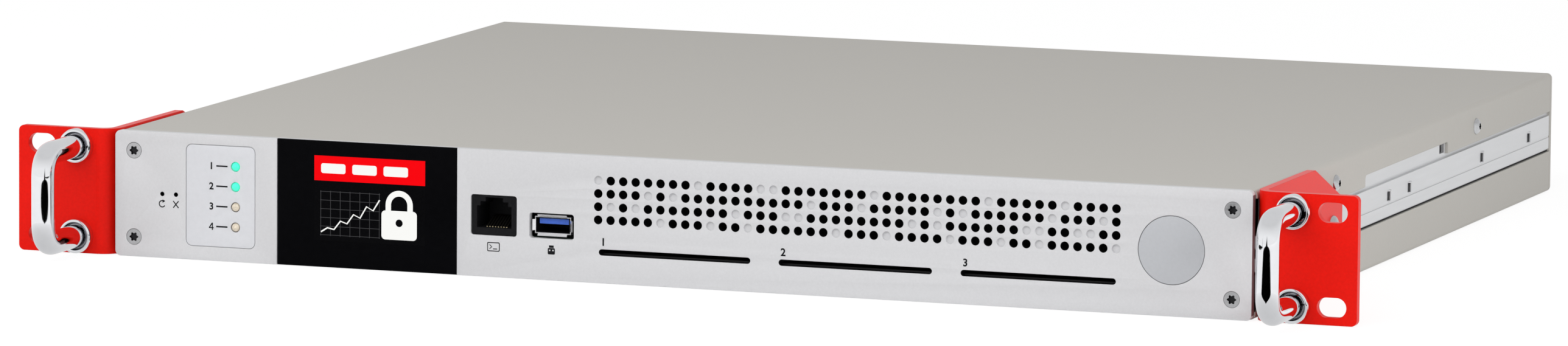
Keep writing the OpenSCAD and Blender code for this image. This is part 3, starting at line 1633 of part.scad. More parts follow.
module psu_latch(k) {
    l = latch_in + psu_face + latch_out;
    boss_wall = 1.3;
    tooth_y = latch_in - 8;
    tooth_l = 4;
    tooth_out = 2.9;
    tooth_edge = 2;
    rib = [0.5, 1, latch_h];
    rib_pitch = 2;
    ribs = 3;
    placed() color([0.75, 0.12, 0.1])
        translate([psu_x[k] + latch_dx, chassis_d - latch_in, latch_z - latch_h / 2]) difference() {
            union() {
                cylinder(d = latch_pin + 2 * boss_wall, h = latch_h);
                translate([-latch_t / 2, 0, 0]) cube([latch_t, l, latch_h]);
                translate([-latch_t / 2, tooth_y, tooth_edge])
                    cube([latch_t / 2 + tooth_out, tooth_l, latch_h - 2 * tooth_edge]);
                for (k = [1 : ribs]) translate([latch_t / 2 - eps, l - k * rib_pitch, 0]) cube(rib);
            }
            translate([0, 0, -1]) cylinder(d = latch_pin + 2 * running_gap, h = latch_h + 2);
        }
}

module psu_bail(k) {
    placed() color([0.3, 0.3, 0.32]) translate([psu_x[k] + bail_dx, bail_y, bail_z]) {
        for (s = [-1, 1]) {
            translate([s * bail_w / 2, 0, 0]) sphere(d = bail_d);
            translate([s * bail_w / 2, 0, -bail_drop]) sphere(d = bail_d);
            translate([s * bail_w / 2, 0, -bail_drop]) cylinder(d = bail_d, h = bail_drop);
            rotate([0, s * 90, 0]) translate([0, 0, bail_w / 2])
                cylinder(d = bail_pin, h = bail_lug_gap + bail_lug_w);
        }
        translate([-bail_w / 2, 0, -bail_drop]) rotate([0, 90, 0]) cylinder(d = bail_d, h = bail_w);
    }
}

module psu_1_case() {
    psu_case(0);
}

module psu_1_inlet() {
    psu_inlet(0);
}

module psu_1_latch() {
    psu_latch(0);
}

module psu_1_bail() {
    psu_bail(0);
}

module psu_2_case() {
    psu_case(1);
}

module psu_2_inlet() {
    psu_inlet(1);
}

module psu_2_latch() {
    psu_latch(1);
}

module psu_2_bail() {
    psu_bail(1);
}

front_panel();
display_lens();
display_module();
led_label();
lit_leds();
clear_leds();
indicator_board();
switch_bodies();
reset_button();
erase_button();
console_jack();
usb_shell();
usb_tongue();
port_board();
card_reader_1();
card_reader_2();
card_reader_3();
badge_disc();
panel_screws();
vent_baffle();
left_ear();
right_ear();
left_handle();
right_handle();
handle_ferrules();
handle_screws();
ear_screws();
left_side_frame();
right_side_frame();
bottom_cover();
top_cover();
cover_screws();
left_rail();
right_rail();
rear_panel();
rear_screws();
main_board();
board_standoffs();
security_module();
processor_heatsink();
backup_battery();
ribbon_cables();
power_backplane();
psu_cage();
network_jacks();
jack_contacts();
fan_frame_1();
fan_frame_2();
fan_frame_3();
fan_rotor_1();
fan_rotor_2();
fan_rotor_3();
psu_1_case();
psu_1_inlet();
psu_1_latch();
psu_1_bail();
psu_2_case();
psu_2_inlet();
psu_2_latch();
psu_2_bail();
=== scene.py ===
# %% [markdown]
# # A 1U rack security appliance
# The object is a flat steel box for a 19-inch rack. Red ears with tube handles hold it in the rack. The
# grey front panel carries a touch display, sockets, card slots and a field of vent holes. Each step
# below makes one piece or one finish, and says why it is made that way.

# %% Load the frame
import math

import bmesh
import bpy
from mathutils import Matrix, Vector


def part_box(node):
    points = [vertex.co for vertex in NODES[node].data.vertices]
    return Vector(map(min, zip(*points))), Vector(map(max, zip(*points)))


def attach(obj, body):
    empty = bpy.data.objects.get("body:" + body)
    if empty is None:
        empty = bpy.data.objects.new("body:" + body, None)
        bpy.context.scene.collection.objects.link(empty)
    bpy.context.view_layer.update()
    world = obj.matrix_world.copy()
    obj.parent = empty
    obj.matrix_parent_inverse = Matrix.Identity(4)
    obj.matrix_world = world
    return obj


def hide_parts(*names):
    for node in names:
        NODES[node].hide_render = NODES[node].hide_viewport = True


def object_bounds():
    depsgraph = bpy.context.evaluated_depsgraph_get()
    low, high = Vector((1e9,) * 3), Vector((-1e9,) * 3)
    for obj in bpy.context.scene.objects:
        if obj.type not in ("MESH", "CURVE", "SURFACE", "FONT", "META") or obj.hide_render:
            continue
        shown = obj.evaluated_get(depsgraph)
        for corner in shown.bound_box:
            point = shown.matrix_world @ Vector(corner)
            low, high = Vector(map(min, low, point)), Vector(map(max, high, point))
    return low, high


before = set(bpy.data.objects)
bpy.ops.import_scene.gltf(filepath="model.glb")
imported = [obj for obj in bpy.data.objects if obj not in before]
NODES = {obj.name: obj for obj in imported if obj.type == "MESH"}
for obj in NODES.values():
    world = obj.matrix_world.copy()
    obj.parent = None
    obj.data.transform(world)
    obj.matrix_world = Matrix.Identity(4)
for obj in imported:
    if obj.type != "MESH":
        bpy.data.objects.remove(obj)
CAD_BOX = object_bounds()
SCENE = bpy.context.scene
MM = 0.001
print("CAD box", [[round(c, 4) for c in corner] for corner in CAD_BOX])

# %% [markdown]
# ## Places on the front panel
# A designer reads this product from its front face. So every place is given in millimetres from the
# middle of the panel: right, back and up. The frame says where that middle is, and one helper turns a
# place into metres.

# %% Panel places
PANEL_LOW, PANEL_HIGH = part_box("front_panel")
PANEL_Y = PANEL_LOW.y
PANEL_W = (PANEL_HIGH.x - PANEL_LOW.x) / MM
PANEL_H = (PANEL_HIGH.z - PANEL_LOW.z) / MM
MID_Z = (PANEL_LOW.z + PANEL_HIGH.z) / 2


def place(x, y, z):
    """A point in metres from millimetres right, back and up from the middle of the panel's face."""
    return Vector((x * MM, PANEL_Y + y * MM, MID_Z + z * MM))


def span(node):
    """A CAD node's box as lowest and highest corners, in millimetres from the middle of the panel's face."""
    home = place(0, 0, 0)
    return tuple((corner - home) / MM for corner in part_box(node))


def middle(node):
    low, high = span(node)
    return (low + high) / 2


print("panel", round(PANEL_W, 2), "by", round(PANEL_H, 2), "mm")

# %% [markdown]
# ## Camera
# The photograph was taken from far away with a long lens, from the right and a little above. The lens
# and the three directions of the camera come from fitting the known rack sizes to the picture.

# %% Camera
LENS = 240.19
CAMERA_AT = place(1220.4, -3286.4, 467.3)
CAMERA_RIGHT = Vector((0.940727, 0.339071, 0.008309))
CAMERA_DOWN = Vector((0.050899, -0.116912, -0.991835))
CAMERA_AHEAD = Vector((-0.335331, 0.933469, -0.12724))

camera_data = bpy.data.cameras.new("camera")
camera_data.sensor_width = 36
camera_data.lens = LENS
camera_data.clip_end = 200
camera = bpy.data.objects.new("camera", camera_data)
SCENE.collection.objects.link(camera)
turn = Matrix((CAMERA_RIGHT, -CAMERA_DOWN, -CAMERA_AHEAD)).transposed()
camera.matrix_world = Matrix.Translation(CAMERA_AT) @ turn.to_4x4()
SCENE.camera = camera
print("camera at", [round(c, 3) for c in CAMERA_AT])

# %% [markdown]
# ## Colours
# Colours are written as a picture shows them, from 0 to 255. Shaders want linear light, so one helper
# converts.

# %% Colour helper
SCENE.view_settings.view_transform = "Standard"


def tint(red, green, blue):
    """A linear colour from picture values."""
    def linear(value):
        value /= 255
        return value / 12.92 if value <= 0.04045 else ((value + 0.055) / 1.055) ** 2.4
    return linear(red), linear(green), linear(blue), 1.0


print("mid grey in linear light", [round(c, 3) for c in tint(128, 128, 128)])

# %% [markdown]
# ## Studio
# Product photographs of shiny things are taken in a white tent. The world is the tent: white where the
# lens sees it, and weaker as a lamp, so that the soft boxes can still shape the object. In a mirror its
# roof and its back turn grey, which gives polished parts their soft shading.

# %% World
TENT_LEVEL = 0.5
DUSK_TOWARD = (0.0, 0.3, 0.95)
DUSK_LEVEL = 0.72
DUSK_EDGE = 0.6
WHITE = (1.0, 1.0, 1.0, 1.0)


def seen_rays(nodes, links):
    """A socket that is 1 for rays from the lens, a mirror or a glass, and 0 for rays that carry light."""
    path = nodes.new("ShaderNodeLightPath")
    first = nodes.new("ShaderNodeMath")
    second = nodes.new("ShaderNodeMath")
    second.use_clamp = True
    links.new(path.outputs["Is Camera Ray"], first.inputs[0])
    links.new(path.outputs["Is Glossy Ray"], first.inputs[1])
    links.new(first.outputs[0], second.inputs[0])
    links.new(path.outputs["Is Transmission Ray"], second.inputs[1])
    return second.outputs[0]


world = bpy.data.worlds.new("tent")
world.use_nodes = True
SCENE.world = world
nodes, links = world.node_tree.nodes, world.node_tree.links
lamp_side = nodes["Background"]
lamp_side.inputs["Color"].default_value = WHITE
lamp_side.inputs["Strength"].default_value = TENT_LEVEL
seen_side = nodes.new("ShaderNodeBackground")
seen_side.inputs["Color"].default_value = WHITE
seen_side.inputs["Strength"].default_value = 1.0
mixed = nodes.new("ShaderNodeMixShader")
links.new(seen_rays(nodes, links), mixed.inputs["Fac"])
links.new(lamp_side.outputs[0], mixed.inputs[1])
links.new(seen_side.outputs[0], mixed.inputs[2])

direction = nodes.new("ShaderNodeTexCoord")
toward = nodes.new("ShaderNodeVectorMath")
toward.operation = "DOT_PRODUCT"
toward.inputs[1].default_value = DUSK_TOWARD
dusk = nodes.new("ShaderNodeMapRange")
dusk.inputs["From Max"].default_value = DUSK_EDGE
dusk.inputs["To Min"].default_value = 1.0
dusk.inputs["To Max"].default_value = DUSK_LEVEL
mirror_side = nodes.new("ShaderNodeBackground")
mirror_side.inputs["Color"].default_value = WHITE
links.new(direction.outputs["Generated"], toward.inputs[0])
links.new(toward.outputs["Value"], dusk.inputs["Value"])
links.new(dusk.outputs["Result"], mirror_side.inputs["Strength"])
mirror_rays = nodes.new("ShaderNodeLightPath")
whole = nodes.new("ShaderNodeMixShader")
links.new(mirror_rays.outputs["Is Glossy Ray"], whole.inputs["Fac"])
links.new(mixed.outputs[0], whole.inputs[1])
links.new(mirror_side.outputs[0], whole.inputs[2])
links.new(whole.outputs[0], nodes["World Output"].inputs["Surface"])
print("tent level", TENT_LEVEL)

# %% [markdown]
# The floor is a wide pale sheet under the chassis. Most of what the lens sees of it is plain white, and
# the rest is its lit surface, so a soft shadow stays under the object.

# %% Floor
FLOOR_HALF = 30.0
FLOOR_WHITE_SHARE = 0.8
FLOOR_GLOW = 1.12
FLOOR_DROP = 0.2


def add_mesh(name, mesh, finish=None):
    thing = bpy.data.objects.new(name, mesh)
    SCENE.collection.objects.link(thing)
    if finish:
        mesh.materials.append(finish)
    return thing


def new_finish(name):
    finish = bpy.data.materials.new(name)
    finish.use_nodes = True
    return finish, finish.node_tree.nodes, finish.node_tree.links


floor_finish, nodes, links = new_finish("floor_sheet")
sheet = nodes["Principled BSDF"]
sheet.inputs["Base Color"].default_value = tint(236, 236, 236)
sheet.inputs["Roughness"].default_value = 0.9
sheet.inputs["Specular IOR Level"].default_value = 0.0
glow = nodes.new("ShaderNodeEmission")
glow.inputs["Color"].default_value = WHITE
glow.inputs["Strength"].default_value = FLOOR_GLOW
share = nodes.new("ShaderNodeMixShader")
share.inputs["Fac"].default_value = FLOOR_WHITE_SHARE
links.new(sheet.outputs[0], share.inputs[1])
links.new(glow.outputs[0], share.inputs[2])
pick = nodes.new("ShaderNodeMixShader")
links.new(seen_rays(nodes, links), pick.inputs["Fac"])
links.new(sheet.outputs[0], pick.inputs[1])
links.new(share.outputs[0], pick.inputs[2])
links.new(pick.outputs[0], nodes["Material Output"].inputs["Surface"])

floor_mesh = bpy.data.meshes.new("floor")
corners = [(-FLOOR_HALF, -FLOOR_HALF, 0), (FLOOR_HALF, -FLOOR_HALF, 0),
           (FLOOR_HALF, FLOOR_HALF, 0), (-FLOOR_HALF, FLOOR_HALF, 0)]
floor_mesh.from_pydata(corners, [], [(0, 1, 2, 3)])
floor = add_mesh("floor", floor_mesh, floor_finish)
floor.location.z = CAD_BOX[0][2] - FLOOR_DROP * MM
print("floor at", round(floor.location.z / MM, 2), "mm")

# %% [markdown]
# Two soft boxes shape the object: a wide one in front and above, and a smaller one on the right that
# lights the long side. On the table, a disc that fades from grey to white lies under each handle, and a
# black leaf in front of it, whose far end bends up into a tip. Only mirrors see them. They draw the dark
# streaks that tell the eye that the handles are polished.

# %% Soft boxes and mirror cards
def soft_box(name, at, aim, width, height, watts):
    light = bpy.data.lights.new(name, "AREA")
    light.shape = "RECTANGLE"
    light.size = width
    light.size_y = height
    light.energy = watts
    thing = bpy.data.objects.new(name, light)
    SCENE.collection.objects.link(thing)
    thing.location = at
    thing.rotation_euler = (aim - at).to_track_quat("-Z", "Y").to_euler()
    thing.visible_glossy = False
    return thing


CENTRE = Vector((0, 0, MID_Z))
FRONT_BOX_AT = Vector((-0.3, -1.0, 0.8))
FRONT_WATTS = 8.4
SIDE_BOX_AT = Vector((0.95, -0.42, 0.22))
SIDE_WATTS = 2.6
soft_box("front_box", FRONT_BOX_AT, CENTRE, 1.6, 0.8, FRONT_WATTS)
soft_box("side_box", SIDE_BOX_AT, CENTRE, 0.6, 0.4, SIDE_WATTS)

# The discs' grey middle is a painted shadow: it stands for the shade that the object casts on the table under
# the handles, as their lower bends see it.
DISC = ((0.01, 0, 180, 0.66), (90, 0, 180, 0.97))
DISC_RISE = 0.05
LEAF_RISE = 0.1
LEAF_TIP = 26
LEAF_FOLD = 0.87
LEAVES = (("left", 40, (80, 170, 360, 38)), ("right", 4, (18, 90, 600, 46)))

card_finish, nodes, links = new_finish("mirror_paper")
card_shade = nodes.new("ShaderNodeAttribute")
card_shade.attribute_name = "shade"
card_glow = nodes.new("ShaderNodeEmission")
links.new(card_shade.outputs["Color"], card_glow.inputs["Color"])
links.new(card_glow.outputs[0], nodes["Material Output"].inputs["Surface"])


def leaf(near, widest, far, half, steps=24):
    """Rows of a black lens shape: along the floor in even ratios from near to far, then up to the tip."""
    ratio = far / near
    skew = math.log(0.5 / LEAF_FOLD) / math.log(math.log(widest / near, ratio))
    rows = []
    for k in range(steps + 1):
        t = k / steps
        rows.append((near * ratio ** t, 0, half * math.sin(math.pi * LEAF_FOLD * t ** skew) ** 2, 0.0))
    for k in range(1, steps + 1):
        t = k / steps
        lift = far * math.tan(math.radians(LEAF_TIP * t))
        rows.append((far, lift, half * math.sin(math.pi * (LEAF_FOLD + (1 - LEAF_FOLD) * t)) ** 2, 0.0))
    return rows


def mirror_card(name, node, rows, rise, heading=0, steps=24):
    """rows: reach, lift, half angle and shade around a handle. heading: degrees right of straight ahead."""
    bar_x, bar_y = middle(node).x, span(node)[0].y
    spots, shades = [], []
    for reach, lift, half, shade in rows:
        for k in range(steps + 1):
            a = math.radians(heading + half * (2 * k / steps - 1))
            spot = place(bar_x + reach * math.sin(a), bar_y - reach * math.cos(a), 0)
            spot.z = floor.location.z + (rise + lift) * MM
            spots.append(spot)
            shades += [shade, shade, shade, 1.0]
    quads = [(i, i + 1, i + steps + 2, i + steps + 1)
             for row in range(len(rows) - 1) for i in range(row * (steps + 1), row * (steps + 1) + steps)]
    mesh = bpy.data.meshes.new(name)
    mesh.from_pydata(spots, [], quads)
    mesh.color_attributes.new("shade", "FLOAT_COLOR", "POINT").data.foreach_set("color", shades)
    card = add_mesh(name, mesh, card_finish)
    for ray in ("camera", "diffuse", "shadow", "transmission"):
        setattr(card, "visible_" + ray, False)


for side, heading, reaches in LEAVES:
    mirror_card(side + "_leaf", side + "_handle", leaf(*reaches), LEAF_RISE, heading)
    mirror_card(side + "_disc", side + "_handle", DISC, DISC_RISE)

# %% [markdown]
# ## Finishes
# No real surface has one flat colour. Each finish mixes a fine noise into its colour, its roughness and
# its relief. Stretching the noise along one axis makes brushed metal. A shader bevel catches light on
# sharp edges.

# %% Finish helper
def surface(name, colour, rough, metal=0.0, shade=0.05, grain=900.0, stretch=(1, 1, 1), relief=0.03,
            edge=0.0, sheen=0.5):
    finish, nodes, links = new_finish(name)
    shader = nodes["Principled BSDF"]
    shader.inputs["Metallic"].default_value = metal
    shader.inputs["Specular IOR Level"].default_value = sheen
    spot = nodes.new("ShaderNodeTexCoord")
    scaled = nodes.new("ShaderNodeMapping")
    scaled.inputs["Scale"].default_value = stretch
    noise = nodes.new("ShaderNodeTexNoise")
    noise.inputs["Scale"].default_value = grain
    noise.inputs["Detail"].default_value = 3.0
    links.new(spot.outputs["Object"], scaled.inputs["Vector"])
    links.new(scaled.outputs["Vector"], noise.inputs["Vector"])
    ramp = nodes.new("ShaderNodeValToRGB")
    ramp.color_ramp.elements[0].position = 0.3
    ramp.color_ramp.elements[1].position = 0.7
    ramp.color_ramp.elements[0].color = [c * (1 - shade) for c in colour[:3]] + [1]
    ramp.color_ramp.elements[1].color = [min(1, c * (1 + shade)) for c in colour[:3]] + [1]
    links.new(noise.outputs["Fac"], ramp.inputs["Fac"])
    links.new(ramp.outputs["Color"], shader.inputs["Base Color"])
    gloss = nodes.new("ShaderNodeMapRange")
    gloss.inputs["To Min"].default_value = rough * 0.85
    gloss.inputs["To Max"].default_value = min(1.0, rough * 1.15)
    links.new(noise.outputs["Fac"], gloss.inputs["Value"])
    links.new(gloss.outputs["Result"], shader.inputs["Roughness"])
    bump = nodes.new("ShaderNodeBump")
    bump.inputs["Strength"].default_value = relief
    bump.inputs["Distance"].default_value = 0.1 * MM
    links.new(noise.outputs["Fac"], bump.inputs["Height"])
    if edge:
        rounded = nodes.new("ShaderNodeBevel")
        rounded.samples = 4
        rounded.inputs["Radius"].default_value = edge * MM
        links.new(rounded.outputs["Normal"], bump.inputs["Normal"])
    links.new(bump.outputs["Normal"], shader.inputs["Normal"])
    return finish


def glowing(finish, colour, strength):
    shader = finish.node_tree.nodes["Principled BSDF"]
    shader.inputs["Emission Color"].default_value = colour
    shader.inputs["Emission Strength"].default_value = strength
    return finish


PANEL_PAINT = surface("panel_paint", tint(213, 213, 215), 0.5, shade=0.02, grain=1400, sheen=0.25)
LABEL_FILM = surface("label_film", tint(217, 218, 222), 0.5, shade=0.015, grain=700, relief=0.02, sheen=0.25)
RED_PAINT = surface("red_paint", tint(237, 24, 12), 0.3, shade=0.04, grain=1100, edge=0.3, sheen=0.1)
CHROME = surface("chrome", tint(232, 233, 236), 0.05, metal=1.0, shade=0.015, grain=300, relief=0.004)
# A darker copy of chrome: a painted shade for the ferrule cones, where little light gets in.
SHADED_CHROME = surface("chrome_painted_shade", tint(172, 172, 176), 0.06, metal=1.0, shade=0.015, grain=300,
                        relief=0.004)
SCREW_STEEL = surface("screw_steel", tint(190, 191, 193), 0.22, metal=1.0, shade=0.06, grain=1500, edge=0.08)
PANEL_STEEL = surface("panel_steel", tint(190, 190, 192), 0.3, metal=1.0, shade=0.06, grain=1500, edge=0.08)
# Painted shade for the screw sockets: the same steel, darkened because hardly any light gets into them.
SOCKET_SHADE = surface("socket_painted_shade", tint(34, 34, 37), 0.3, metal=0.7, shade=0.1, grain=1500)
COVER_STEEL = surface("cover_steel", tint(195, 192, 186), 0.5, shade=0.02, grain=1200, edge=0.3, sheen=0.2)
ZINC = surface("zinc", tint(211, 212, 214), 0.34, metal=0.35, shade=0.03, grain=500, stretch=(1, 0.08, 1),
               edge=0.15)
SOCKET_METAL = surface("socket_metal", tint(238, 238, 240), 0.25, metal=0.9, shade=0.03, grain=800,
                       relief=0.005)
print("finishes", len(bpy.data.materials))

# %% [markdown]
# Plastics, boards and small metals follow the same recipe with their own colour and gloss.

# %% More finishes
BLACK_PLASTIC = surface("black_plastic", tint(22, 22, 24), 0.5, shade=0.2, grain=1600, relief=0.06, edge=0.1)
GREY_PLASTIC = surface("grey_plastic", tint(30, 30, 32), 0.5, shade=0.12, grain=1600, relief=0.05, edge=0.1)
# Black plastic of the console jack, and also a painted shade for faces that light hardly reaches: socket
# insides, hole walls and the buttons deep in the pinholes.
JACK_BLACK_AND_SHADE = surface("jack_black_and_painted_shade", tint(20, 20, 22), 0.5, shade=0.2, grain=1600, relief=0.05, sheen=0.12)
DARK_BOARD = surface("dark_board", tint(9, 26, 18), 0.6, shade=0.25, grain=240, relief=0.1, sheen=0.1)
# Black sheet of the vent baffle, and also the painted shadow of the seam beads.
BLACK_SHEET_AND_SHADOW = surface("black_sheet", tint(13, 13, 14), 0.8, shade=0.2, grain=900)
BOARD_GREEN = surface("board_green", tint(20, 92, 52), 0.4, shade=0.25, grain=240, relief=0.1, edge=0.1)
BLUE_PLASTIC = surface("blue_plastic", tint(62, 104, 206), 0.4, shade=0.08, grain=1500, edge=0.1)
MODULE_METAL = surface("module_metal", tint(176, 178, 182), 0.35, metal=0.8, shade=0.05, grain=600, edge=0.2)
BATTERY_WRAP = surface("battery_wrap", tint(52, 92, 148), 0.35, shade=0.08, grain=700, edge=0.2)
RIBBON_GREY = surface("ribbon_grey", tint(142, 143, 147), 0.55, shade=0.2, grain=900, stretch=(1, 0.02, 0.02))
# Painted shade: the contact wires inside the console jack, darkened because light hardly reaches them.
SHADED_BRASS = surface("brass_painted_shade", tint(28, 26, 23), 0.5, metal=0.3, shade=0.1, grain=1500, sheen=0.1)
CONTACT_GOLD = surface("contact_gold", tint(240, 222, 176), 0.35, metal=0.4, shade=0.06, grain=1500)
SUPPLY_GREY = surface("supply_grey", tint(158, 160, 164), 0.4, metal=0.4, shade=0.04, grain=900, edge=0.25)
LATCH_RED = surface("latch_red", tint(186, 30, 24), 0.35, shade=0.06, grain=1300, edge=0.2)
BAIL_DARK = surface("bail_dark", tint(74, 75, 79), 0.35, metal=0.5, shade=0.08, grain=1300)
LENS_BLACK = surface("lens_black", tint(9, 9, 11), 0.25, shade=0.1, grain=500, relief=0.002, sheen=0.01)
INK = surface("ink", tint(22, 22, 25), 0.6, shade=0.15, grain=2500, sheen=0.1)
LED_LIT = surface("led_lit", tint(70, 226, 190), 0.2, shade=0.1, grain=1800, edge=0.1)
glowing(LED_LIT, tint(60, 226, 184), 0.55)
LED_CLEAR = surface("led_clear", tint(228, 216, 196), 0.15, shade=0.16, grain=1500, relief=0.1)
print("finishes", len(bpy.data.materials))

# %% [markdown]
# ## Dressing the CAD pieces
# Most parts already have their true shape in the frame, so they only get a finish. The list pairs each finish
# with the nodes that wear it.

# %% Dress the nodes
WEARS = [
    (RED_PAINT, ["left_ear", "right_ear"]),
    (COVER_STEEL, ["top_cover", "bottom_cover"]),
    (ZINC, ["left_side_frame", "right_side_frame", "left_rail", "right_rail", "psu_cage"]),
    (SOCKET_METAL, ["usb_shell", "network_jacks"]),
    (BLUE_PLASTIC, ["usb_tongue"]),
    # The reset and erase buttons are black as a painted shade, since they sit deep in their pinholes.
    (JACK_BLACK_AND_SHADE, ["console_jack", "reset_button", "erase_button"]),
    (GREY_PLASTIC, ["fan_rotor_1", "fan_rotor_2", "fan_rotor_3"]),
    (BLACK_PLASTIC, ["display_module", "switch_bodies", "card_reader_1", "card_reader_2", "card_reader_3",
                     "fan_frame_1", "fan_frame_2", "fan_frame_3", "psu_1_inlet", "psu_2_inlet"]),
    (BLACK_SHEET_AND_SHADOW, ["vent_baffle"]),
    (BOARD_GREEN, ["indicator_board", "main_board", "power_backplane"]),
    (DARK_BOARD, ["port_board"]),
    (MODULE_METAL, ["security_module", "processor_heatsink"]),
    (BATTERY_WRAP, ["backup_battery"]),
    (RIBBON_GREY, ["ribbon_cables"]),
    (CONTACT_GOLD, ["jack_contacts", "board_standoffs"]),
    (SUPPLY_GREY, ["psu_1_case", "psu_2_case"]),
    (LATCH_RED, ["psu_1_latch", "psu_2_latch"]),
    (BAIL_DARK, ["psu_1_bail", "psu_2_bail"]),
    (LED_LIT, ["lit_leds"]),
    (LED_CLEAR, ["clear_leds"]),
]
for finish, names in WEARS:
    for name in names:
        NODES[name].data.materials.clear()
        NODES[name].data.materials.append(finish)
print("dressed", sum(len(names) for _, names in WEARS), "of", len(NODES), "nodes")

# %% [markdown]
# Hardly any light gets into the sockets, so their insides get a painted shade: a dark finish on the faces in
# there. A face tells by its direction and its place whether it is one of these: an inner wall of the USB
# shell faces the middle of the shell, the tongue is shaded everywhere but on its front tip, a contact wire is
# shaded everywhere but on its cut end, and the walls inside a network jack lie away from its outer faces.

# %% Inside of the sockets
JACK_COUNT = 4
JACK_W = 14.4
JACK_LOW, JACK_HIGH = span("network_jacks")
JACK_STEP = (JACK_HIGH.x - JACK_LOW.x - JACK_W) / (JACK_COUNT - 1)
JACK_X = [JACK_LOW.x + JACK_W / 2 + k * JACK_STEP for k in range(JACK_COUNT)]
SKIN = 0.1


def darken(thing, finish, hidden):
    """One more finish, for those faces of a piece that hidden(normal, middle in millimetres) picks."""
    home = place(0, 0, 0)
    index = len(thing.data.materials)
    thing.data.materials.append(finish)
    picked = [face for face in thing.data.polygons if hidden(face.normal, (face.center - home) / MM)]
    for face in picked:
        face.material_index = index
    print(thing.name, "has", len(picked), "faces in", finish.name)


def in_shell(normal, at):
    inward = middle("usb_shell") - at
    return abs(normal.y) < 0.1 and inward.x * normal.x + inward.z * normal.z > 0


def behind_tip(normal, at):
    return normal.y > -0.9 or at.y > TIP_Y + SKIN


def along_wire(normal, at):
    return abs(normal.y) < 0.9


def in_jack(normal, at):
    aside = min(abs(at.x - x) for x in JACK_X)
    return (aside < JACK_W / 2 - SKIN and JACK_LOW.y + SKIN < at.y < JACK_HIGH.y - SKIN
            and JACK_LOW.z + SKIN < at.z < JACK_HIGH.z - SKIN)


TIP_Y = span("usb_tongue")[0].y
darken(NODES["usb_shell"], JACK_BLACK_AND_SHADE, in_shell)
darken(NODES["usb_tongue"], JACK_BLACK_AND_SHADE, behind_tip)
darken(NODES["jack_contacts"], SHADED_BRASS, along_wire)
darken(NODES["network_jacks"], JACK_BLACK_AND_SHADE, in_jack)

# %% [markdown]
# ## Sheet plates with holes
# Laser-cut and punched sheets are best drawn as outlines. A filled 2D curve takes an outer loop and any
# number of hole loops, and its bevel rounds every edge alike. That gives smoother holes than the frame's
# mesh has. The curve is drawn in millimetres and becomes a mesh in the panel's plane.

# %% Outline helpers
def disc(x, z, size, steps=36):
    ring = [2 * math.pi * k / steps for k in range(steps)]
    return [(x + size / 2 * math.cos(a), z + size / 2 * math.sin(a)) for a in ring]


def rect(x, z, width, height, radii=0.0, steps=7):
    """A rectangle around x, z. radii: one for all corners, or low left, low right, top right, top left."""
    if not isinstance(radii, (list, tuple)):
        radii = [radii] * 4
    loop = []
    for k, (sx, sz) in enumerate([(-1, -1), (1, -1), (1, 1), (-1, 1)]):
        r = radii[k]
        cx, cz = x + sx * (width / 2 - r), z + sz * (height / 2 - r)
        if r == 0:
            loop.append((cx, cz))
            continue
        start = math.pi + k * math.pi / 2
        for j in range(steps + 1):
            a = start + math.pi / 2 * j / steps
            loop.append((cx + r * math.cos(a), cz + r * math.sin(a)))
    return loop


def smoothed(mesh, degrees=38):
    mesh.shade_smooth()
    mesh.set_sharp_from_angle(angle=math.radians(degrees))
    return mesh


def plate(loops, front, thick, soft=0.0, steps=2):
    """A plate as a mesh. Its face lies front millimetres behind the panel's face. soft: edge radius."""
    curve = bpy.data.curves.new("outline", "CURVE")
    curve.dimensions = "2D"
    curve.fill_mode = "BOTH"
    curve.extrude = thick / 2 - soft
    curve.bevel_depth = soft
    curve.bevel_resolution = steps
    curve.offset = -soft
    for loop in loops:
        spline = curve.splines.new("POLY")
        spline.points.add(len(loop) - 1)
        for point, (x, z) in zip(spline.points, loop):
            point.co = (x, z, 0, 1)
        spline.use_cyclic_u = True
    draft = bpy.data.objects.new("outline", curve)
    SCENE.collection.objects.link(draft)
    mesh = bpy.data.meshes.new_from_object(draft.evaluated_get(bpy.context.evaluated_depsgraph_get()))
    bpy.data.objects.remove(draft)
    bpy.data.curves.remove(curve)
    home = place(0, front + thick / 2, 0)
    mesh.transform(Matrix(((MM, 0, 0, home.x), (0, 0, -MM, home.y), (0, MM, 0, home.z), (0, 0, 0, 1))))
    work = bmesh.new()
    work.from_mesh(mesh)
    bmesh.ops.remove_doubles(work, verts=work.verts, dist=0.002 * MM)
    bmesh.ops.recalc_face_normals(work, faces=work.faces)
    work.to_mesh(mesh)
    work.free()
    return smoothed(mesh)


def joined(name, meshes, finishes):
    """One object from several meshes, each with its own finish."""
    work = bmesh.new()
    used = []
    for mesh, finish in zip(meshes, finishes):
        if finish not in used:
            used.append(finish)
        first = len(work.faces)
        work.from_mesh(mesh)
        work.faces.ensure_lookup_table()
        for face in work.faces[first:]:
            face.material_index = used.index(finish)
        bpy.data.meshes.remove(mesh)
    mesh = bpy.data.meshes.new(name)
    for finish in used:
        mesh.materials.append(finish)
    work.to_mesh(mesh)
    work.free()
    return add_mesh(name, mesh)


def chassis_piece(thing, slot, *nodes):
    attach(thing, "chassis")
    if nodes:
        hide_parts(*nodes)
    print(thing.name, "has", len(thing.data.polygons), "faces")
    return thing


print("a disc has", len(disc(0, 0, 1)), "points, a rounded square", len(rect(0, 0, 1, 1, 0.2)))

# %% [markdown]
# ## Front panel
# The panel is milled from 3 mm sheet. Its face has through holes for vents, cards, sockets and
# indicators, and shallow pockets for the label, the lens, the badge and the blind vents. The lens pocket
# runs over the full height, so the face is a left and a right plate. A pocket is a hole with a plug set
# deeper. An opening is given by its middle, its width and its height.

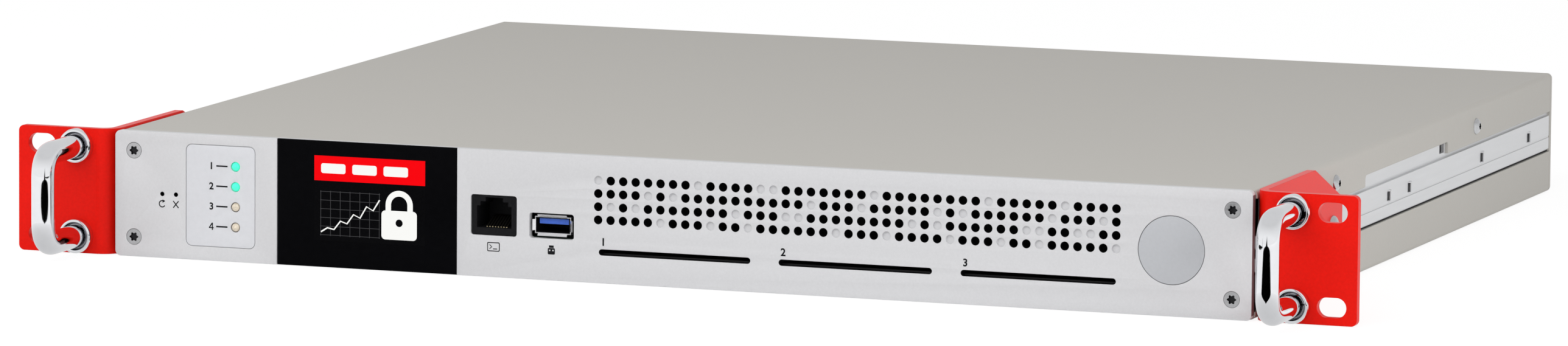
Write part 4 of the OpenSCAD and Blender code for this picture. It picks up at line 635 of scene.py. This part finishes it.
# %% Panel loops
PANEL_T = 3.0
EDGE = 0.15
LABEL_LOW, LABEL_HIGH = span("led_label")
LABEL_AT = middle("led_label")
LABEL_SIZE = LABEL_HIGH - LABEL_LOW
LENS_LOW, LENS_HIGH = span("display_lens")
BADGE_LOW, BADGE_HIGH = span("badge_disc")
BADGE_AT = middle("badge_disc")
BADGE_D = BADGE_HIGH.x - BADGE_LOW.x
LED_X = middle("lit_leds").x
LED_PITCH = 7.0
LED_Z = [LABEL_AT.z + LED_PITCH * step for step in (1.5, 0.5, -0.5, -1.5)]
GAP = 0.2
LED_HOLE = 3.4
PIN_D = 1.5
CONSOLE = (middle("console_jack").x, -0.65, 16.8, 13.9)
USB = (middle("usb_shell").x, -3.25, 16.2, 8.7)
PINS = [middle(node) for node in ("reset_button", "erase_button")]
WINDOW = (middle("display_module").x, 0.8, 50.8, 36.8)
CORNER = 2
LABEL_R = 2.0
SOCKET_R = 1.0
SCREW_IN = 7
SCREW_X, SCREW_Z, SCREW_HEAD = PANEL_W / 2 - SCREW_IN, 15.0, 5.5
SCREW_PLAY = 0.16
VENT_ROWS = (
    ".ooooooo.oooo..ooooooo.oooooooo.ooooo.oooo",
    "oooo.o.oooooooooo.ooo.ooooo.o.oooooo.ooo.o",
    "o.o.ooooooo.ooo..oooooooo.o.oooooo..oo..oo",
    "ooooo.ooo.oo.oooooo.ooo.oooo.ooo.oo.ooooo.",
)
VENT_X, VENT_Z, VENT_STEP, VENT_D, VENT_DEEP = -27.0, 13.35, 4.5, 3.0, 0.8
SLOTS = [(middle(f"card_reader_{k}").x, -11.2, 54.6, 2.1) for k in (1, 2, 3)]

vents = [(VENT_X + c * VENT_STEP, VENT_Z - r * VENT_STEP, mark)
         for r, row in enumerate(VENT_ROWS) for c, mark in enumerate(row)]
vent_loops = [disc(x, z, VENT_D) for x, z, mark in vents]
open_count = sum(mark == "o" for *_, mark in vents)
print(open_count, "open vents,", len(vents) - open_count, "blind vents")

# %% Panel plates
POCKET_L, POCKET_R = LENS_LOW.x - GAP, LENS_HIGH.x + GAP
PLUG_LAP = 1
LENS_LAP = 0.2
VENT_LAP = 0.3
left_w = POCKET_L + PANEL_W / 2
right_w = PANEL_W / 2 - POCKET_R
left_outline = rect(-PANEL_W / 2 + left_w / 2, 0, left_w, PANEL_H, (CORNER, 0, 0, CORNER))
right_outline = rect(PANEL_W / 2 - right_w / 2, 0, right_w, PANEL_H, (0, CORNER, CORNER, 0))
label_hole = rect(LABEL_AT.x, LABEL_AT.z, LABEL_SIZE.x + 2 * GAP, LABEL_SIZE.z + 2 * GAP, LABEL_R + GAP)
label_plug = rect(LABEL_AT.x, LABEL_AT.z, LABEL_SIZE.x + PLUG_LAP, LABEL_SIZE.z + PLUG_LAP,
                  LABEL_R + PLUG_LAP / 2)
lens_plug = rect((POCKET_L + POCKET_R) / 2, 0, POCKET_R - POCKET_L + LENS_LAP, PANEL_H)
screw_holes = {s: [disc(s * SCREW_X, z, SCREW_HEAD + SCREW_PLAY) for z in (-SCREW_Z, SCREW_Z)]
               for s in (-1, 1)}
pin_holes = [disc(pin.x, pin.z, PIN_D, 24) for pin in PINS]
console_hole = rect(*CONSOLE, SOCKET_R)
usb_hole = rect(*USB, SOCKET_R)
slot_holes = [rect(*slot, slot[3] / 2) for slot in SLOTS]
badge_hole = disc(BADGE_AT.x, BADGE_AT.z, BADGE_D + 2 * GAP, 96)
led_holes = [disc(LED_X, z, LED_HOLE, 24) for z in LED_Z]

panel_meshes = [
    plate([left_outline, label_hole, *screw_holes[-1], *pin_holes], 0, PANEL_T, EDGE),
    plate([right_outline, console_hole, usb_hole, *slot_holes, badge_hole, *screw_holes[1], *vent_loops],
          0, PANEL_T, EDGE),
    plate([lens_plug, rect(*WINDOW)], LENS_HIGH.y, PANEL_T - LENS_HIGH.y),
    plate([label_plug, *led_holes], LABEL_HIGH.y, PANEL_T - LABEL_HIGH.y),
    plate([disc(BADGE_AT.x, BADGE_AT.z, BADGE_D + PLUG_LAP, 64)], BADGE_HIGH.y, PANEL_T - BADGE_HIGH.y),
]
panel_meshes += [plate([disc(x, z, VENT_D + VENT_LAP)], VENT_DEEP, PANEL_T - VENT_DEEP)
                 for x, z, mark in vents if mark == "."]
panel = joined("panel_face", panel_meshes, [PANEL_PAINT] * len(panel_meshes))
chassis_piece(panel, "panel_grey", "front_panel")

# %% [markdown]
# The walls of the through holes are bare punched metal that hardly any light reaches, so a painted shade
# darkens them. Such a wall faces sideways and lies within the reach of a hole, which tells it from the outer
# rim.

# %% Dark hole walls
holes = [(x, z, VENT_D, VENT_D) for x, z, mark in vents if mark == "o"] + SLOTS
holes += [(pin.x, pin.z, PIN_D, PIN_D) for pin in PINS]


def in_hole(normal, at):
    near = any(abs(at.x - x) < width / 2 + EDGE and abs(at.z - z) < height / 2 + EDGE
               for x, z, width, height in holes)
    return near and abs(normal.y) < 0.5


darken(panel, JACK_BLACK_AND_SHADE, in_hole)

# %% [markdown]
# The upright rims at both ends of the panel lie in the shade of the ears, so a painted shade makes them
# darker than the paint.

# %% Rims with painted shade
RIM_SHADE = surface("painted_rim_shade", tint(120, 120, 123), 0.45, metal=0.4, shade=0.06, grain=1500)


def at_rim(normal, at):
    return abs(normal.x) > 0.5 and abs(at.x) > PANEL_W / 2 - SKIN


darken(panel, RIM_SHADE, at_rim)

# %% [markdown]
# The label is a printed film in its pocket, and the badge a spun disc in another. Both lie a tenth of a
# millimetre below the face. That leaves a fine shadow line around each.

# %% Label and badge
BADGE_METAL = surface("badge_metal", tint(192, 194, 198), 0.4, metal=0.3, shade=0.02, grain=900)
FILM_EDGE = 0.1
film_loop = rect(LABEL_AT.x, LABEL_AT.z, LABEL_SIZE.x, LABEL_SIZE.z, LABEL_R)
film_mesh = plate([film_loop, *led_holes], LABEL_LOW.y, LABEL_SIZE.y, FILM_EDGE)
chassis_piece(joined("label_film", [film_mesh], [LABEL_FILM]), "label_grey", "led_label")
badge_loop = disc(BADGE_AT.x, BADGE_AT.z, BADGE_D, 96)
badge_mesh = plate([badge_loop], BADGE_LOW.y, BADGE_HIGH.y - BADGE_LOW.y, EDGE)
chassis_piece(joined("badge_plate", [badge_mesh], [BADGE_METAL]), "label_grey", "badge_disc")

# %% [markdown]
# ## Display
# The lens is a black glossy sheet. Its picture is drawn from thin plates just above the glass, each with
# its own glow. It is a made-up page: a red title bar with three buttons, a line chart and a padlock.

# %% Lens and page
lens_loop = rect((LENS_LOW.x + LENS_HIGH.x) / 2, 0, LENS_HIGH.x - LENS_LOW.x, PANEL_H)
lens_mesh = plate([lens_loop], LENS_LOW.y, LENS_HIGH.y - LENS_LOW.y, EDGE)
chassis_piece(joined("display_glass", [lens_mesh], [LENS_BLACK]), "lens_black", "display_lens")

PAGE_X0, PAGE_X1, PAGE_Z0, PAGE_Z1 = -131.0, -90.2, -12.6, 16.7
PAGE_RISE = 0.03
PAGE_Y = LENS_LOW.y - PAGE_RISE
PAGE_T = 0.02


def lit_ink(name, colour, level):
    finish = surface(name, tint(8, 8, 9), 0.15, shade=0.2, grain=1200, relief=0.0, sheen=0.01)
    return glowing(finish, colour, level)


PAGE_BLACK = lit_ink("page_black", tint(6, 6, 8), 0.5)
PAGE_RED = lit_ink("page_red", tint(255, 0, 10), 0.95)
PAGE_WHITE = lit_ink("page_white", tint(255, 255, 252), 0.95)
PAGE_GREY = lit_ink("page_grey", tint(96, 96, 98), 0.6)


def stroke(points, width):
    """A loop around a line through the points, that many millimetres wide."""
    sides = ([], [])
    for k, (x, z) in enumerate(points):
        ax, az = points[max(k - 1, 0)]
        bx, bz = points[min(k + 1, len(points) - 1)]
        length = math.hypot(bx - ax, bz - az)
        nx, nz = (az - bz) / length * width / 2, (bx - ax) / length * width / 2
        sides[0].append((x + nx, z + nz))
        sides[1].append((x - nx, z - nz))
    return sides[0] + sides[1][::-1]


def arc(x, z, radius, start, end, steps=20):
    angles = [math.radians(start + (end - start) * k / steps) for k in range(steps + 1)]
    return [(x + radius * math.cos(a), z + radius * math.sin(a)) for a in angles]


def page_part(loops, level):
    return plate(loops, PAGE_Y - level * PAGE_T, PAGE_T)


page_w, page_h = PAGE_X1 - PAGE_X0, PAGE_Z1 - PAGE_Z0
page_x = (PAGE_X0 + PAGE_X1) / 2
BAR_H = 8.6
LOCK_X, LOCK_Z = PAGE_X1 - 9.5, PAGE_Z0 + 6.6
BOW_R, BOW_LOW, BOW_HIGH, BOW_W = 4, 5, 7, 2
CHART = (3, 4.5, 4, 7, 6.2, 9.5, 8.4, 12.5, 11.2, 15)
CHART_W = 0.5
GRID_W = 0.14

title_bar = rect(page_x, PAGE_Z1 - BAR_H / 2, page_w, BAR_H)
buttons = [rect(PAGE_X0 + 7 + 11.5 * k, PAGE_Z1 - BAR_H / 2, 9, 3.4, 0.8) for k in range(3)]
lock = [rect(LOCK_X, LOCK_Z, 13, 10, 1.4), disc(LOCK_X, LOCK_Z + 0.8, 2.6)]
bow = [(LOCK_X - BOW_R, LOCK_Z + BOW_LOW)] + arc(LOCK_X, LOCK_Z + BOW_HIGH, BOW_R, 180, 0)
bow.append((LOCK_X + BOW_R, LOCK_Z + BOW_LOW))
chart = [(PAGE_X0 + 2.5 + 2.4 * k, PAGE_Z0 + height) for k, height in enumerate(CHART)]
rows = [rect(PAGE_X0 + 13.2, PAGE_Z0 + 2 + 3 * k, 22, GRID_W) for k in range(6)]
columns = [rect(PAGE_X0 + 2.4 + 3.6 * k, PAGE_Z0 + 9.5, GRID_W, 15.6) for k in range(7)]
page_parts = [
    (PAGE_BLACK, [rect(page_x, (PAGE_Z0 + PAGE_Z1) / 2, page_w, page_h)], 0),
    (PAGE_RED, [title_bar], 1),
    (PAGE_WHITE, buttons, 2),
    (PAGE_WHITE, lock, 1),
    (PAGE_WHITE, [stroke(bow, BOW_W)], 1),
    (PAGE_WHITE, [stroke(chart, CHART_W)], 2),
]
page_parts += [(PAGE_GREY, [row], 1) for row in rows]
page_parts += [(PAGE_GREY, [column], 1.5) for column in columns]
page_meshes = [page_part(loops, level) for _, loops, level in page_parts]
page = joined("display_page", page_meshes, [ink for ink, *_ in page_parts])
chassis_piece(page, "lens_black")

# %% [markdown]
# ## Printed marks
# The panel's marks are screen-printed: flat ink, a few hundredths of a millimetre thick. Plain numbers
# stand beside the indicators and over the card slots, and simple signs under the buttons and sockets.

# %% Marks
INK_T = 0.03
INK_OVER = -0.01
NUMERAL_BOLD = 0.025
FOUR = (
    [(0.43, 0), (0.59, 0), (0.59, 0.23), (0.71, 0.23), (0.71, 0.37), (0.59, 0.37), (0.59, 1), (0.41, 1),
     (0, 0.36), (0, 0.23), (0.43, 0.23)],
    [(0.43, 0.37), (0.43, 0.76), (0.18, 0.37)],
)
FOUR_MIDDLE = (0.355, 0.5)


def numeral(text, x, z, height, front):
    """A number whose middle is at x, z."""
    curve = bpy.data.curves.new("numeral", "FONT")
    curve.body = text
    curve.offset = NUMERAL_BOLD
    draft = bpy.data.objects.new("numeral", curve)
    SCENE.collection.objects.link(draft)
    mesh = bpy.data.meshes.new_from_object(draft.evaluated_get(bpy.context.evaluated_depsgraph_get()))
    bpy.data.objects.remove(draft)
    bpy.data.curves.remove(curve)
    xs = [v.co.x for v in mesh.vertices]
    ys = [v.co.y for v in mesh.vertices]
    size = height / (max(ys) - min(ys)) * MM
    home = place(x, front, z)
    shift = Matrix.Translation((-(min(xs) + max(xs)) / 2, -(min(ys) + max(ys)) / 2, 0))
    upright = Matrix(((size, 0, 0, home.x), (0, 0, -MM, home.y), (0, size, 0, home.z), (0, 0, 0, 1)))
    mesh.transform(upright @ shift)
    return mesh


def ink_part(loops, front=0.0):
    return plate(loops, front - INK_T, INK_T)


def four(x, z, height, front):
    """The number 4 around x, z. Widening the font's own 4 would make its strokes overlap."""
    return ink_part([[(x + height * (a - FOUR_MIDDLE[0]), z + height * (b - FOUR_MIDDLE[1])) for a, b in loop]
                     for loop in FOUR], front)


NUMBER_X, NUMBER_H = LED_X - 8.9, 2.5
DASH_X, DASH_W, DASH_H = LED_X - 5.0, 4.2, 0.5
SLOT_NUMBER_H = 2.7
SIGN_DOWN = 3.4
SIGN_LINE = 0.36

mark_meshes = []
for k, z in enumerate(LED_Z):
    if k < 3:
        mark_meshes.append(numeral(str(k + 1), NUMBER_X, z, NUMBER_H, LABEL_LOW.y - INK_T))
    else:
        mark_meshes.append(four(NUMBER_X, z, NUMBER_H, LABEL_LOW.y))
    mark_meshes.append(ink_part([rect(DASH_X, z, DASH_W, DASH_H)], LABEL_LOW.y))
for k, (x, z, width, height) in enumerate(SLOTS):
    mark_meshes.append(numeral(str(k + 1), x - width / 2 + 1.6, z + 3.6, SLOT_NUMBER_H, -INK_T))
turn_x, turn_z = PINS[0].x, PINS[0].z - SIGN_DOWN
mark_meshes.append(ink_part([stroke(arc(turn_x, turn_z, 1.1, 60, 330), SIGN_LINE)]))
arrow = [(turn_x + 0.15, turn_z + 1.5), (turn_x + 0.15, turn_z + 0.35), (turn_x + 1.15, turn_z + 1.0)]
mark_meshes.append(ink_part([arrow], INK_OVER))
wipe_x, wipe_z = PINS[1].x, PINS[1].z - SIGN_DOWN
for rise, front in ((1.2, 0.0), (-1.2, INK_OVER)):
    bar = [(wipe_x - 1, wipe_z - rise), (wipe_x + 1, wipe_z + rise)]
    mark_meshes.append(ink_part([stroke(bar, SIGN_LINE)], front))

SIGN_Z = -11.4
screen_x, plug_x = CONSOLE[0], USB[0]
screen = [rect(screen_x, SIGN_Z, 4.6, 3.2, 0.5), rect(screen_x, SIGN_Z, 4.0, 2.6, 0.3)]
prompt = [(screen_x - 1.4, SIGN_Z + 0.7), (screen_x - 0.6, SIGN_Z), (screen_x - 1.4, SIGN_Z - 0.7)]
plug = [rect(plug_x, SIGN_Z - 0.4, 2.6, 2.2, 0.4)]
plug += [rect(plug_x + side, SIGN_Z - 0.1, 0.5, 0.5) for side in (-0.6, 0.6)]
mark_meshes.append(ink_part(screen))
mark_meshes.append(ink_part([stroke(prompt, 0.3)]))
mark_meshes.append(ink_part([rect(screen_x + 0.6, SIGN_Z - 0.7, 1.5, 0.3)]))
mark_meshes.append(ink_part(plug))
mark_meshes.append(ink_part([rect(plug_x, SIGN_Z + 1.2, 1.7, 0.8)]))
marks = joined("panel_marks", mark_meshes, [INK] * len(mark_meshes))
chassis_piece(marks, "black_plastic")

# %% [markdown]
# ## Screws and ferrules
# Turned parts are rings around an axis. A ring may carry six shallow lobes, which makes the socket of a
# six-lobe screw. One helper turns a profile and repeats it at many places.

# %% Turning helper
FACING = {
    "front": Matrix(((1, 0, 0), (0, 0, -1), (0, 1, 0))),
    "rear": Matrix(((-1, 0, 0), (0, 0, 1), (0, 1, 0))),
    "right": Matrix(((0, 0, 1), (1, 0, 0), (0, 1, 0))),
    "left": Matrix(((0, 0, -1), (-1, 0, 0), (0, 1, 0))),
    "under": Matrix(((1, 0, 0), (0, -1, 0), (0, 0, -1))),
}


def turned(rings, places, steps=72):
    """rings: (radius, height, lobe depth) from the rim to the middle. places: (x, y, z, facing)."""
    work = bmesh.new()
    for x, y, z, facing in places:
        home = place(x, y, z)
        before = None
        for radius, height, lobe in rings:
            ring = []
            for k in range(steps if radius else 1):
                a = 2 * math.pi * k / steps
                r = radius * (1 - lobe * (0.5 - 0.5 * math.cos(6 * a)))
                spot = FACING[facing] @ Vector((r * math.cos(a), r * math.sin(a), height))
                ring.append(work.verts.new(home + spot * MM))
            if before:
                for k in range(steps):
                    j = (k + 1) % steps
                    corners = [before[k], before[j], ring[j % len(ring)], ring[k % len(ring)]]
                    work.faces.new(list(dict.fromkeys(corners)))
            before = ring
    bmesh.ops.recalc_face_normals(work, faces=work.faces)
    mesh = bpy.data.meshes.new("turned")
    work.to_mesh(mesh)
    work.free()
    return smoothed(mesh, 30)


def flat_head(size):
    """Rings of a flush head, and of its socket."""
    r = size / 2
    rim = (r * 0.6, -0.02, 0.3)
    head = [(r * 0.7, -0.9, 0), (r, -0.35, 0), (r, -0.12, 0), (r - 0.12, 0.0, 0), (r * 0.66, 0.0, 0.15), rim]
    return head, [rim, (r * 0.54, -0.9, 0.3), (0, -1.0, 0)]


def dome_head(size, cap):
    """Rings of a domed head, and of its socket."""
    r = size / 2
    rim = (r * 0.44, cap * 0.93, 0.3)
    head = [(r * math.cos(a), cap * math.sin(a), 0) for a in (0, 0.12, 0.35, 0.6, 0.85, 1.05)] + [rim]
    return head, [rim, (r * 0.4, cap * 0.3, 0.3), (0, cap * 0.25, 0)]


def screw_heads(name, node, finish, *groups):
    """One piece from groups of heads. A group is the rings of flat_head or dome_head, and its places."""
    meshes = [turned(rings, places) for heads, places in groups for rings in heads]
    # Every head wears the given finish, and its socket the painted shade.
    chassis_piece(joined(name, meshes, [finish, SOCKET_SHADE] * len(groups)), "screw_steel", node)


print("turned parts can face", list(FACING))

# %% [markdown]
# Flush screws hold the panel and the floor, and domed ones the cover, the ears, the handles and the rear
# wall.

# %% Screws
SIDE = PANEL_W / 2 + 0.3
SIDES = ((-1, "left"), (1, "right"))
EAR_T = 3
FAN_HOLE = 16
UNDER_IN = 6
UNDER_HEAD = 4.6
COVER_ROWS = (93.5, 265.5)
COVER_SCREWS = [(s * SIDE, y, 13.3, side) for s, side in SIDES for y in COVER_ROWS]
EAR_SPOTS = ((81, 0), (36, 13), (36, -13))
EAR_SCREWS = [(s * (SIDE + EAR_T), y, z, side) for s, side in SIDES for y, z in EAR_SPOTS]
HANDLE_X, HANDLE_Z, EAR_FACE = 219.3, 15.7, 0.3
HANDLE_FEET = [(s * HANDLE_X, z) for s in (-1, 1) for z in (-HANDLE_Z, HANDLE_Z)]
REAR_FACE = span("rear_panel")[1].y
FAN_AT = [middle(f"fan_frame_{k}") for k in (1, 2, 3)]
REAR_SCREWS = [(s * SCREW_X, REAR_FACE, z, "rear") for s in (-1, 1) for z in (-SCREW_Z, SCREW_Z)]
REAR_SCREWS += [(fan.x + a, REAR_FACE, fan.z + b, "rear")
                for fan in FAN_AT for a in (-FAN_HOLE, FAN_HOLE) for b in (-FAN_HOLE, FAN_HOLE)]
UNDER_SCREWS = [(s * (SIDE - UNDER_IN), y, -PANEL_H / 2, "under") for s in (-1, 1) for y in COVER_ROWS]

PANEL_SCREWS = [(s * SCREW_X, 0, z, "front") for s in (-1, 1) for z in (-SCREW_Z, SCREW_Z)]
HANDLE_SCREWS = [(x, EAR_FACE + EAR_T, z, "rear") for x, z in HANDLE_FEET]
SMALL_HEAD, LARGE_HEAD = dome_head(5.8, 1.7), dome_head(8, 2)

screw_heads("panel_screw_heads", "panel_screws", PANEL_STEEL, (flat_head(SCREW_HEAD), PANEL_SCREWS))
screw_heads("cover_screw_heads", "cover_screws", SCREW_STEEL,
            (SMALL_HEAD, COVER_SCREWS), (flat_head(UNDER_HEAD), UNDER_SCREWS))
screw_heads("ear_screw_heads", "ear_screws", SCREW_STEEL, (LARGE_HEAD, EAR_SCREWS))
screw_heads("rear_screw_heads", "rear_screws", SCREW_STEEL, (SMALL_HEAD, REAR_SCREWS))
screw_heads("handle_screw_heads", "handle_screws", SCREW_STEEL, (LARGE_HEAD, HANDLE_SCREWS))

# %% [markdown]
# ## Handles
# A handle is a polished tube that is bent twice. A bender eases into each bend and out of it, so that
# reflections run over the tube without a break. The path is walked in small steps whose turn rises and
# falls like a wave and adds up to a right angle. A ring of points around each step makes the tube.

# %% Handles
BEND = 10.5


def eased_bend(reach, steps=36):
    """Points along and across a quarter turn that takes up that much of both legs."""
    along, across, spots = 0.0, 0.0, [(0.0, 0.0)]
    for k in range(steps):
        u = (k + 0.5) / steps
        a = math.pi / 2 * (u - math.sin(2 * math.pi * u) / (2 * math.pi))
        along += math.cos(a)
        across += math.sin(a)
        spots.append((along, across))
    return [(x * reach / along, z * reach / along) for x, z in spots]


def tube(path, x, radius, steps=64):
    """A closed tube along points (y, z) in the upright plane at x."""
    work = bmesh.new()
    rings = []
    for k, (y, z) in enumerate(path):
        (y0, z0), (y1, z1) = path[max(k - 1, 0)], path[min(k + 1, len(path) - 1)]
        length = math.hypot(y1 - y0, z1 - z0)
        out_y, out_z = (z0 - z1) / length, (y1 - y0) / length
        ring = []
        for j in range(steps):
            a = 2 * math.pi * j / steps
            c, s = radius * math.cos(a), radius * math.sin(a)
            ring.append(work.verts.new(place(x + c, y + s * out_y, z + s * out_z)))
        rings.append(ring)
    for ring, after in zip(rings, rings[1:]):
        for j in range(steps):
            i = (j + 1) % steps
            work.faces.new((ring[j], ring[i], after[i], after[j]))
    work.faces.new(rings[0])
    work.faces.new(rings[-1])
    bmesh.ops.recalc_face_normals(work, faces=work.faces)
    mesh = bpy.data.meshes.new("tube")
    work.to_mesh(mesh)
    work.free()
    return smoothed(mesh)


for side in ("left", "right"):
    low, high = span(side + "_handle")
    radius = (high.x - low.x) / 2
    bar_y = low.y + radius
    lower = [(bar_y + BEND - a, c - HANDLE_Z) for a, c in eased_bend(BEND)]
    upper = [(y, -z) for y, z in reversed(lower)]
    path = [(EAR_FACE, -HANDLE_Z)] + lower + upper + [(EAR_FACE, HANDLE_Z)]
    handle = joined(side + "_handle_tube", [tube(path, (low.x + high.x) / 2, radius)], [CHROME])
    chassis_piece(handle, "chrome", side + "_handle")

# %% [markdown]
# A ferrule is a cupped collar under each handle leg: a bright rounded rim, then a cone that runs down to the
# leg. The cone is chrome with a painted shade, darker because little light gets into the cup.

# %% Ferrules
FERRULE_RIM = [(6.0, 0.0, 0), (6.0, 2.1, 0), (5.95, 2.45, 0), (5.78, 2.78, 0), (5.5, 2.96, 0), (5.2, 3.0, 0),
               (4.95, 2.9, 0)]
FERRULE_CONE = [(4.95, 2.9, 0), (4.75, 2.6, 0), (4.35, 1.3, 0), (4.2, 1.2, 0), (4.06, 1.2, 0)]
ferrule_places = [(x, EAR_FACE, z, "front") for x, z in HANDLE_FEET]
ferrules = joined("ferrules", [turned(FERRULE_RIM, ferrule_places), turned(FERRULE_CONE, ferrule_places)],
                  [CHROME, SHADED_CHROME])
chassis_piece(ferrules, "chrome", "handle_ferrules")

# %% [markdown]
# ## Seam shadow beads
# On each side a thin dark bead is a painted shadow: it stands for the dark gap in the seam between the lower
# cover and the side frame. It is a long bar whose section is half a disc.

# %% Seam shadow beads
BEAD_R = 0.25
BEAD_STEPS = 8
FRAME_SIDE = span("right_rail")[0].x
SEAM_Z = span("bottom_cover")[1].z
bead_meshes = []
for s in (-1, 1):
    work = bmesh.new()
    ends = []
    for y in (span("bottom_cover")[0].y, span("bottom_cover")[1].y):
        half_disc = []
        for k in range(BEAD_STEPS + 1):
            a = math.pi * k / BEAD_STEPS - math.pi / 2
            out, up = BEAD_R * math.cos(a), BEAD_R * (1 + math.sin(a))
            half_disc.append(work.verts.new(place(s * (FRAME_SIDE + out), y, SEAM_Z + up)))
        ends.append(half_disc)
    for k in range(BEAD_STEPS + 1):
        j = (k + 1) % (BEAD_STEPS + 1)
        work.faces.new((ends[0][k], ends[0][j], ends[1][j], ends[1][k]))
    for end in ends:
        work.faces.new(end)
    bmesh.ops.recalc_face_normals(work, faces=work.faces)
    mesh = bpy.data.meshes.new("bead")
    work.to_mesh(mesh)
    work.free()
    bead_meshes.append(smoothed(mesh))
beads = joined("seam_shadow_beads", bead_meshes, [BLACK_SHEET_AND_SHADOW] * 2)
chassis_piece(beads, "black_plastic")

# %% [markdown]
# ## Rear wall
# The rear wall is a punched sheet again: three fan grilles of ringed holes, four socket cut-outs and two
# bays.

# %% Rear wall
REAR_LOW, REAR_HIGH = span("rear_panel")
REAR_CORNER = 1.8
BAY_LAP = 0.9
FAN_BORE = 38
GRILLE_D = 4.2
JACK_PLAY = 0.6
JACK_CUT_H = 13.4
rear_size = REAR_HIGH - REAR_LOW
rear_mid = middle("rear_panel")
rear_loops = [rect(rear_mid.x, rear_mid.z, rear_size.x, rear_size.z, REAR_CORNER)]
for k in (1, 2):
    low, high = span(f"psu_{k}_case")
    bay_w, bay_h = high.x - low.x - BAY_LAP, high.z - low.z - BAY_LAP
    rear_loops.append(rect((low.x + high.x) / 2, (low.z + high.z) / 2, bay_w, bay_h))
for fan in FAN_AT:
    rear_loops.append(disc(fan.x, fan.z, GRILLE_D, 24))
    for ring in (1, 2, 3):
        for k in range(6 * ring):
            a = 2 * math.pi * k / (6 * ring)
            reach = ring * (FAN_BORE - GRILLE_D) / 6
            spot_x, spot_z = fan.x + reach * math.cos(a), fan.z + reach * math.sin(a)
            rear_loops.append(disc(spot_x, spot_z, GRILLE_D, 24))
rear_loops += [rect(x, middle("network_jacks").z, JACK_W + JACK_PLAY, JACK_CUT_H) for x in JACK_X]
rear = joined("rear_wall", [plate(rear_loops, REAR_LOW.y, rear_size.y, EDGE)], [COVER_STEEL])
chassis_piece(rear, "cover_steel", "rear_panel")
